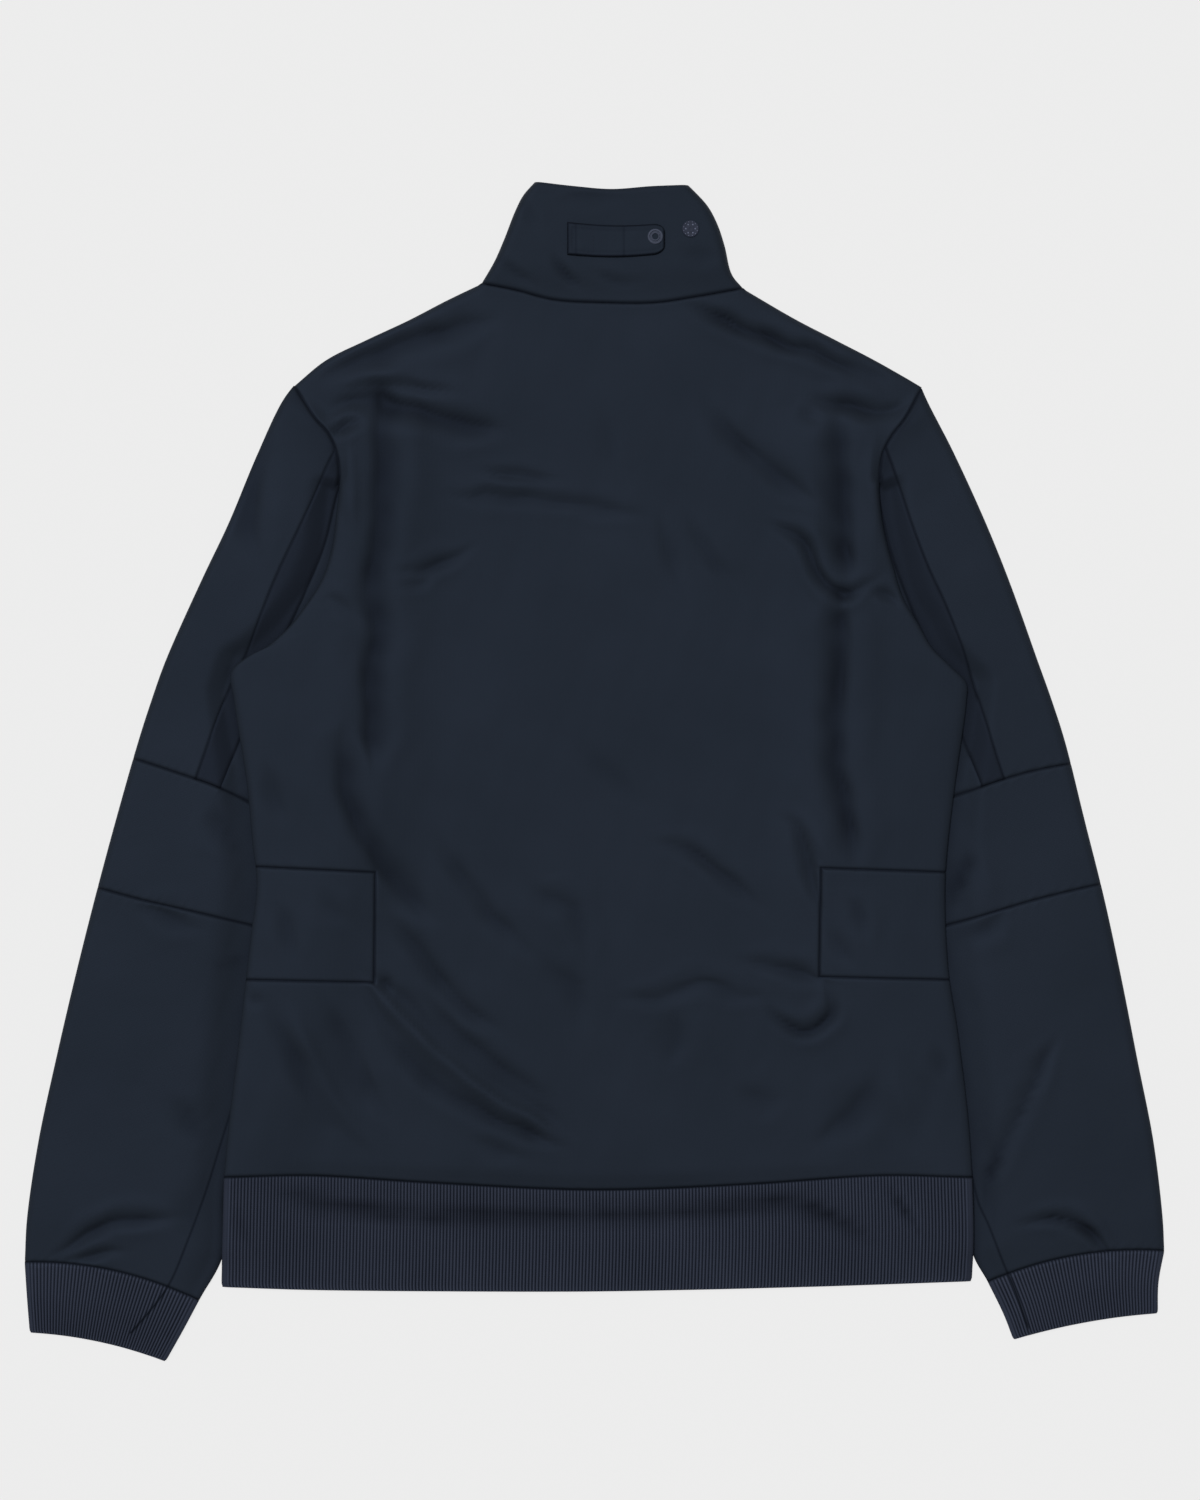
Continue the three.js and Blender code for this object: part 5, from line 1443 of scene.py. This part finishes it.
pieces["hem_rib"] = waistband()

# %% Collar
COLLAR_LENGTH = 150
COLLAR_HEIGHT = 75
HEM_STITCH = 6
COLLAR_TOP_Y = 405
FRONT_NECK_Y = 289


def collar():
    neck = chain(NECK)
    left, right = chain(COLLAR_LEFT), chain(COLLAR_RIGHT)
    upper = edges(neck, chain(COLLAR_TOP), left, right)
    zip_left, zip_right = (straight(x, FRONT_NECK_Y, COLLAR_TOP_Y) for x in (-ZIP_EDGE, ZIP_EDGE))
    lower_left = edges(chain(FRONT_NECK_LEFT), chain(COLLAR_UNDER_LEFT), left, zip_left)
    lower_right = edges(chain(FRONT_NECK_RIGHT), chain(COLLAR_UNDER_RIGHT), zip_right, right)

    def top(x, y, _):
        return collar_height(x, y) + folds_at(COLLAR_FOLDS, x, y) * smoothstep(0, 8, y - 335)

    shape = {
        "width": lambda v: mix(183, 108, v), "edge": COLLAR_KNIT + 1, "top": top,
        "floor": lift_beside, "edge_floor": lambda x, y: 0 * x,
    }
    top_q = graded(COLLAR_LENGTH, pitch=2.6)
    under_q = mix(0, 0.5, graded(75, high=False, pitch=3.5))[1:]
    q = np.concatenate([-under_q[::-1], top_q, 1 + under_q])
    ts = joined((0, 1), graded(COLLAR_HEIGHT, pitch=2.6))
    outer, s, v, is_top = strip(upper, lower_left, lower_right, q, ts, shape, 0.0)
    inner = strip(upper, lower_left, lower_right, q, ts, shape, COLLAR_KNIT)[0]
    below, above = v * COLLAR_HEIGHT, (1 - v) * COLLAR_HEIGHT
    rounded = 1 - smoothstep(0, 3, above)
    outer[..., 2] -= np.where(is_top, groove(below), 0)
    outer[..., 2] += np.where(is_top, -rounded, 0.5 * rounded)
    inner[..., 2] = np.where(is_top, np.minimum(inner[..., 2], outer[..., 2] - 0.2), inner[..., 2])
    # Painted shade along the neck seam, and the stitch line near the collar's top.
    dark = bell(below, 0.9) + 0.35 * bell(above - HEM_STITCH, 0.5)
    grain = np.stack([s * COLLAR_LENGTH, v * COLLAR_HEIGHT, 0 * s], -1)
    # Painted shade in the collar's troughs, at twice the strength.
    hollow = np.where(is_top, 2 * hollow_at(COLLAR_FOLDS, outer[..., 0], outer[..., 1]), 0)
    return wall("sewn_collar", outer, inner, all_squares(s), seam=dark, grain=grain,
                hollow=np.minimum(hollow, 1))


pieces["collar"] = collar()

# %% [markdown]
# ## The collar strap
# A narrow strap is stitched to the collar in a box at its left end, and its free right end has a
# ring snap. A line of colour could stand for the thread, but a stitch shows by its shadow, so each
# stitch of the box is a small raised spindle. The edge and cross stitching are lines of colour.

# %% Strap
TAB = {"left": -19, "right": 49, "low": 361.2, "high": 383.4, "thick": 1.8, "round": 8, "sag": 2}
TAB_LENGTH = 68
TAB_WIDTH = 23
EDGE_STITCH = 3.2
CROSS_STITCHES = (-13.0, 20.5)


def strap_point(u, v):
    x = mix(TAB["left"], TAB["right"], u)
    into_end = np.clip((x - (TAB["right"] - TAB["round"])) / TAB["round"], 0, 1)
    corner = TAB["round"] * 0.75 * (1 - np.sqrt(1 - into_end**2))
    half = mix(1.02, 0.95, u) * (TAB["high"] - TAB["low"]) / 2 - corner
    y = (TAB["high"] + TAB["low"]) / 2 - TAB["sag"] * np.sin(np.pi * u) + mix(-half, half, v)
    return np.stack([x, y], -1)


def strap():
    u, v = np.meshgrid(graded(TAB_LENGTH, pitch=0.8), graded(22, pitch=0.9))
    plan = strap_point(u, v)
    x, y = plan[..., 0], plan[..., 1]
    edge = to_border(u, v, TAB_LENGTH, TAB_WIDTH)
    low = collar_height(x, y) + SEAM
    rounded = 0.8 * (1 - roll(edge * ROLL / 1.6)) + 0.18 * bell(edge - EDGE_STITCH, 0.7)
    waves = 0.1 * ripples(x, y, 18, 11)
    outer = with_height(plan, low + TAB["thick"] - rounded + waves)
    # A painted shadow all round the strap's edge, plus its edge and cross stitch lines.
    dark = 1.6 * bell(edge, 1.1) + 0.3 * bell(edge - EDGE_STITCH, 0.6)
    for line in CROSS_STITCHES:
        dark += 0.5 * bell(x - line, 0.7)
    return wall("sewn_collar_tab", outer, with_height(plan, low), all_squares(u), seam=dark,
                grain=with_height(plan, 0 * x), hollow=0 * x)


pieces["collar_tab"] = strap()


# %% Rings of points
def ring_faces(base, rings, count):
    """The squares between rings of points, each of them count points long."""
    faces = []
    for ring in range(rings - 1):
        for k in range(count):
            a = base + ring * count + k
            b = base + ring * count + (k + 1) % count
            faces.append((a, b, b + count, a + count))
    return faces


# %% Stitches
SPINDLE = ((0.0, 0.35), (0.25, 1.0), (0.75, 1.0), (1.0, 0.35))
SPINDLE_SIDES = 6
STITCH_RADIUS = 0.16
STITCH_LENGTH = 1.9
STITCH_PITCH = 2.6
BOX_CORNERS = ((0.04, 0.12), (0.27, 0.12), (0.27, 0.88), (0.04, 0.88), (0.04, 0.12))


def strap_height(place):
    return float(collar_height(place[0], place[1])) + SEAM + TAB["thick"]


def stitch(start, end, base):
    """One raised stitch between two places: a spindle of a few rings."""
    along = (end - start) / np.hypot(*(end - start))
    aside = np.array([-along[1], along[0]])
    points = []
    for share, size in SPINDLE:
        centre = mix(start, end, share)
        z = strap_height(centre) + STITCH_RADIUS * (size - 0.6)
        for k in range(SPINDLE_SIDES):
            angle = k * math.pi / 3
            place = centre + aside * STITCH_RADIUS * size * math.cos(angle)
            points.append((place[0], place[1], z + STITCH_RADIUS * size * math.sin(angle)))
    last = base + len(points) - SPINDLE_SIDES
    faces = ring_faces(base, len(SPINDLE), SPINDLE_SIDES)
    faces.append(tuple(base + k for k in reversed(range(SPINDLE_SIDES))))
    faces.append(tuple(last + k for k in range(SPINDLE_SIDES)))
    return points, faces


def stitch_rows(name, path):
    """Stitches along a path of points, one after the other."""
    steps = np.hypot(*np.diff(path, axis=0).T)
    total = np.concatenate([[0], np.cumsum(steps)])

    def at(length):
        return np.array([np.interp(length, total, path[:, k]) for k in (0, 1)])

    points, faces = [], []
    for start in np.arange(0.3, total[-1] - STITCH_LENGTH, STITCH_PITCH):
        more_points, more_faces = stitch(at(start), at(start + STITCH_LENGTH), len(points))
        points += more_points
        faces += more_faces
    return finished(name, meshed(name, points, faces))


box_path = []
for (u0, v0), (u1, v1) in zip(BOX_CORNERS[:-1], BOX_CORNERS[1:]):
    share = np.linspace(0, 1, 12)
    box_path += strap_point(mix(u0, u1, share), mix(v0, v1, share)).tolist()[:-1]
box_stitches = stitch_rows("strap_box_stitches", np.array(box_path))

# %% [markdown]
# ## Snaps and zip
# The strap ends in a ring snap, and a second snap sits beside it on the collar. The zip lies
# hidden under the jacket: two rows of moulded teeth on a woven tape, a slider and a pull tab.
# A Screw modifier could turn the snaps from a profile. A loop does the same here, and it can
# close a ring without leaving doubled points.

# %% Turned parts
TURNS = 64


def turned(name, profile, x, y, z):
    """A closed ring or disc from a profile of radius and height."""
    points = []
    for radius, up in profile:
        for angle in np.arange(TURNS) * 2 * np.pi / TURNS:
            points.append((x + radius * math.cos(angle), y + radius * math.sin(angle), z + up))
    faces = ring_faces(0, len(profile), TURNS)
    if profile[0] == profile[-1]:
        last = (len(profile) - 1) * TURNS
        faces = [tuple(f - last if f >= last else f for f in face) for face in faces]
        points = points[:last]
    return finished(name, meshed(name, points, faces))


# %% The ring snap and the stud
RING = (42.4, 373.4)
STUD = (67.0, 379.0)
RING_PROFILE = (
    (2.0, 0.1), (5.2, 0.1), (5.4, 0.4), (5.2, 0.8), (4.8, 1.1), (4.1, 1.0), (3.85, 0.2),
    (3.3, 0.2), (3.1, 0.9), (2.7, 1.1), (2.3, 0.9), (2.0, 0.3), (2.0, 0.1),
)
STUD_PROFILE = (
    (0.001, 0.75), (1.2, 0.75), (1.7, 0.95), (2.2, 0.75), (4.6, 0.7), (5.2, 0.95), (5.8, 0.7),
    (6.0, 0.2), (6.0, 0.0),
)
ring_base = float(collar_height(*RING)) + TAB["thick"] + SEAM
ring = turned("ring_snap", RING_PROFILE, *RING, ring_base)
stud_base = float(collar_height(*STUD)) + SEAM / 2
stud = turned("stud_snap", STUD_PROFILE, *STUD, stud_base)

# %% The beads of the stud
BEAD_SIDES = 10
BEAD_LEVELS = 4
BEAD_SQUASH = 0.6
BEAD_RISE = 0.68
BEAD_RINGS = ((6, 3.3, 0.62, 0.0), (12, 4.9, 0.42, 0.26))


def bead(base, centre, radius):
    """A small dome, open below where it sinks into the stud."""
    points = []
    for level in range(BEAD_LEVELS):
        tilt = level * math.pi / 8
        for k in range(BEAD_SIDES):
            angle = k * math.pi / 5
            points.append((centre[0] + radius * math.cos(tilt) * math.cos(angle),
                           centre[1] + radius * math.cos(tilt) * math.sin(angle),
                           centre[2] + radius * BEAD_SQUASH * math.sin(tilt)))
    last = base + len(points) - BEAD_SIDES
    faces = ring_faces(base, BEAD_LEVELS, BEAD_SIDES)
    faces.append(tuple(last + k for k in range(BEAD_SIDES)))
    return points, faces


def rosette(name):
    """Rings of beads. A ring has a count, a reach, a bead's radius and a turn."""
    points, faces = [], []
    for count, reach, radius, turn in BEAD_RINGS:
        for k in range(count):
            angle = 2 * math.pi * k / count + turn
            x, y = STUD[0] + reach * math.cos(angle), STUD[1] + reach * math.sin(angle)
            more_points, more_faces = bead(len(points), (x, y, stud_base + BEAD_RISE), radius)
            points += more_points
            faces += more_faces
    return finished(name, meshed(name, points, faces))


beads = rosette("stud_beads")

# %% Teeth of the zip
TOOTH = (3.4, 1.1, 1.7)
TOOTH_PITCH = 1.5
TOOTH_OFFSET = 0.55
TOOTH_FLOOR = 0.05
TEETH_TOP = 382
CHAMFER = 0.7


def tooth(base, x, y):
    """A small block with its lower and upper edges chamfered."""
    w, d, h = (side / 2 for side in TOOTH)
    z0 = float(chain_lift(y)) + TOOTH_FLOOR
    points = []
    for z, k in ((0, CHAMFER), (h * 0.5, 1), (h * 1.5, 1), (h * 2, CHAMFER)):
        points += [(x + px * k, y + py * k, z0 + z) for px, py in ((-w, -d), (w, -d), (w, d), (-w, d))]
    faces = ring_faces(base, 4, 4)
    faces.append((base + 3, base + 2, base + 1, base))
    faces.append((base + 12, base + 13, base + 14, base + 15))
    return points, faces


def zip_teeth(name):
    points, faces = [], []
    for k, y in enumerate(np.arange(ZIP_LOW + 2, TEETH_TOP, TOOTH_PITCH)):
        more_points, more_faces = tooth(len(points), TOOTH_OFFSET if k % 2 else -TOOTH_OFFSET, y)
        points += more_points
        faces += more_faces
    return finished(name, meshed(name, points, faces))


teeth = zip_teeth("zip_teeth")

# %% Tape of the zip
TAPE_XS = (-4.0, -3.6, -2.2, -0.4, 0.4, 2.2, 3.6, 4.0)
TAPE_TOP = 392
TAPE_FLOOR = 0.6
TAPE_THICK = 0.7
tape_plan = np.stack(np.meshgrid(TAPE_XS, np.linspace(ZIP_LOW, TAPE_TOP, 240)), -1)
tape_low = chain_lift(tape_plan[..., 1]) + TAPE_FLOOR
nowhere = 0 * tape_low
zip_tape = wall("zip_tape", with_height(tape_plan, tape_low + TAPE_THICK),
                with_height(tape_plan, tape_low), all_squares(tape_low),
                grain=with_height(tape_plan, nowhere), seam=nowhere, hollow=nowhere)

# %% Finishes of the small parts
def hard_finish(name, shade, light, roughness, metallic):
    finish = Finish(name, Metallic=metallic, Specular_IOR_Level=0.1)
    worn = finish.noise(240.0, 4.0)
    finish.feed(Base_Color=finish.blend(worn, linear(*shade), linear(*light)),
                Roughness=worn * 0.2 + (roughness - 0.1),
                Normal=finish.bump(finish.noise(1500.0, 2.0), 0.00003, 0.4))
    return finish.material


SNAP_METAL = hard_finish("worn snap metal", (52, 57, 70), (70, 76, 92), 0.62, 0.15)
STUD_METAL = hard_finish("dull stud metal", (34, 38, 50), (46, 51, 66), 0.62, 0.1)
# The beads are coloured lighter than the stud, as a painted highlight on each bead.
BEAD_HIGHLIGHT_METAL = hard_finish("bright stud beads", (80, 86, 104), (104, 110, 130), 0.55, 0.15)
ZIP_PLASTIC = hard_finish("moulded zip plastic", (22, 25, 33), (34, 38, 48), 0.45, 0.0)
THREAD = hard_finish("thread", (26, 31, 41), (34, 40, 52), 0.7, 0.0)
ZIP_TAPE = knit("woven zip tape", (22, 26, 34), (30, 35, 45), 0.5, 0.1)
print("made the finishes of snaps, zip and thread")

# %% [markdown]
# ## Fitting the pieces to the frame
# Each piece rides on a body of the solid part and stands in for its node. One table lists the
# size of each piece's flat cut and what it lies on, and each cut is printed beside the cloth's
# area. A table beats a call beside each piece, because the cuts can be read side by side.

# %% Which finish, node and cut each piece has
# Finish, slot, width and length of the flat cut in metres, its area if it isn't a plain
# rectangle, and what the piece lies on
CUTS = {
    "back_panel": (TRICOT, "cloth", 0.520, 0.640, 0.262, ["front_left", "front_right"]),
    "hip_panel_left": (TRICOT, "cloth", 0.090, 0.078, None, ["front_left"]),
    "hip_panel_right": (TRICOT, "cloth", 0.096, 0.078, None, ["front_right"]),
    "front_left": (TRICOT, "cloth", 0.260, 0.620, 0.133, ["floor"]),
    "front_right": (TRICOT, "cloth", 0.265, 0.620, 0.136, ["floor"]),
    "upper_sleeve_left": (TRICOT, "cloth", 0.340, 0.300, 0.062, ["floor"]),
    "upper_sleeve_right": (TRICOT, "cloth", 0.340, 0.300, 0.058, ["floor"]),
    "sleeve_tape_left": (SHADED_TAPE_CLOTH, "tape", 0.021, 0.270, 0.0052, ["floor"]),
    "sleeve_tape_right": (SHADED_TAPE_CLOTH, "tape", 0.021, 0.270, 0.0052, ["floor"]),
    "elbow_band_left": (TRICOT, "cloth", 0.330, 0.095, 0.029, ["floor"]),
    "elbow_band_right": (TRICOT, "cloth", 0.330, 0.095, 0.029, ["floor"]),
    "lower_sleeve_left": (TRICOT, "cloth", 0.330, 0.280, 0.075, ["floor"]),
    "lower_sleeve_right": (TRICOT, "cloth", 0.330, 0.280, 0.075, ["floor"]),
    "cuff_rib_left": (RIB_CLOTH, "rib", 0.240, 0.052, None, ["floor"]),
    "cuff_rib_right": (RIB_CLOTH, "rib", 0.240, 0.052, None, ["floor"]),
    "hem_rib": (RIB_CLOTH, "rib", 1.040, 0.076, None, ["floor"]),
    "collar": (COLLAR_CLOTH, "collar", 0.340, 0.090, 0.026, ["floor"]),
    "collar_tab": (COLLAR_CLOTH, "collar", 0.068, 0.023, None, ["collar"]),
}

# %% The floor
FLOOR_GLOW = 0.79
bpy.ops.mesh.primitive_plane_add(size=14, location=(0, 0, -0.0006))
floor = bpy.context.object
floor.name = "floor"
pale = Finish("pale floor", Roughness=0.9, Specular_IOR_Level=0.0, Base_Color=(0.05, 0.05, 0.05, 1),
              Emission_Color=(1, 1, 1, 1), Emission_Strength=FLOOR_GLOW)
floor.data.materials.append(pale.material)

# %% Put every piece in its place
for node, (finish, slot, width, length, area, below) in CUTS.items():
    piece = pieces[node]
    piece.data.materials.append(finish)
    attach(piece, "jacket")
    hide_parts(node)
    one_layer = sum(face.area for face in piece.data.polygons) / 2
    lies_on = [pieces[name] if name in pieces else floor for name in below]
    print(node, "has", round(one_layer, 4), "square metres of cloth, cut", area or width * length)

SOFT_EDGE = 0.0002
small = (
    (ring, SNAP_METAL, "snap", ["tab_snap"]), (stud, STUD_METAL, "snap", ["collar_snap"]),
    (beads, BEAD_HIGHLIGHT_METAL, "snap", []), (teeth, ZIP_PLASTIC, "zip", ["zip_chain"]),
    (zip_tape, ZIP_TAPE, "zip", []), (box_stitches, THREAD, "collar", []),
)
for piece, finish, slot, nodes in small:
    piece.data.materials.append(finish)
    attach(piece, "jacket")
    if nodes:
        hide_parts(*nodes)
for node in ("zip_slider", "zip_pull"):
    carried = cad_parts[node]
    carried.data.materials.clear()
    carried.data.materials.append(ZIP_PLASTIC)
    bevel = carried.modifiers.new("soft edges", "BEVEL")
    bevel.width = SOFT_EDGE
    bevel.segments = 2
print(len(pieces) + len(small), "pieces ride on the frame")

# %% [markdown]
# ## Light and camera
# The picture was taken straight down under even studio light, with no shadow on the table. An
# even sky gives that, and one wide lamp almost above gives the folds their softly shaded walls.
# Area lamps would fall off towards the sleeves, so the lamp is a sun, equally bright everywhere.
# The table glows a little by itself, which drowns what shadow is left.

# %% Light
SKY_STRENGTH = 0.35
LAMP_STRENGTH = 2.4
LAMP_SPREAD = 20
scene = bpy.context.scene
world = scene.world or bpy.data.worlds.new("even sky")
scene.world = world
world.use_nodes = True
sky = world.node_tree.nodes["Background"].inputs
sky["Color"].default_value = (1, 1, 1, 1)
sky["Strength"].default_value = SKY_STRENGTH

lamp_data = bpy.data.lights.new("wide lamp", "SUN")
lamp_data.energy = LAMP_STRENGTH
lamp_data.angle = math.radians(LAMP_SPREAD)
lamp = bpy.data.objects.new("wide lamp", lamp_data)
lamp.location = (-0.7, 1.0, 3.0)
lamp.rotation_euler = (-lamp.location).to_track_quat("-Z", "Y").to_euler()
scene.collection.objects.link(lamp)
scene.view_settings.view_transform = "Standard"

# %% Camera
CENTRE = (0.00385, 0.0154)
FRAME_HEIGHT = 1.05
LENS = 100.0
SENSOR = 36.0
camera_data = bpy.data.cameras.new("camera")
camera_data.lens = LENS
camera_data.sensor_width = SENSOR
camera = bpy.data.objects.new("camera", camera_data)
camera.location = (CENTRE[0], CENTRE[1], FRAME_HEIGHT * LENS / SENSOR)
camera_data.clip_end = 50
scene.collection.objects.link(camera)
scene.camera = camera
print("the camera is", round(camera.location.z, 3), "m above the floor")
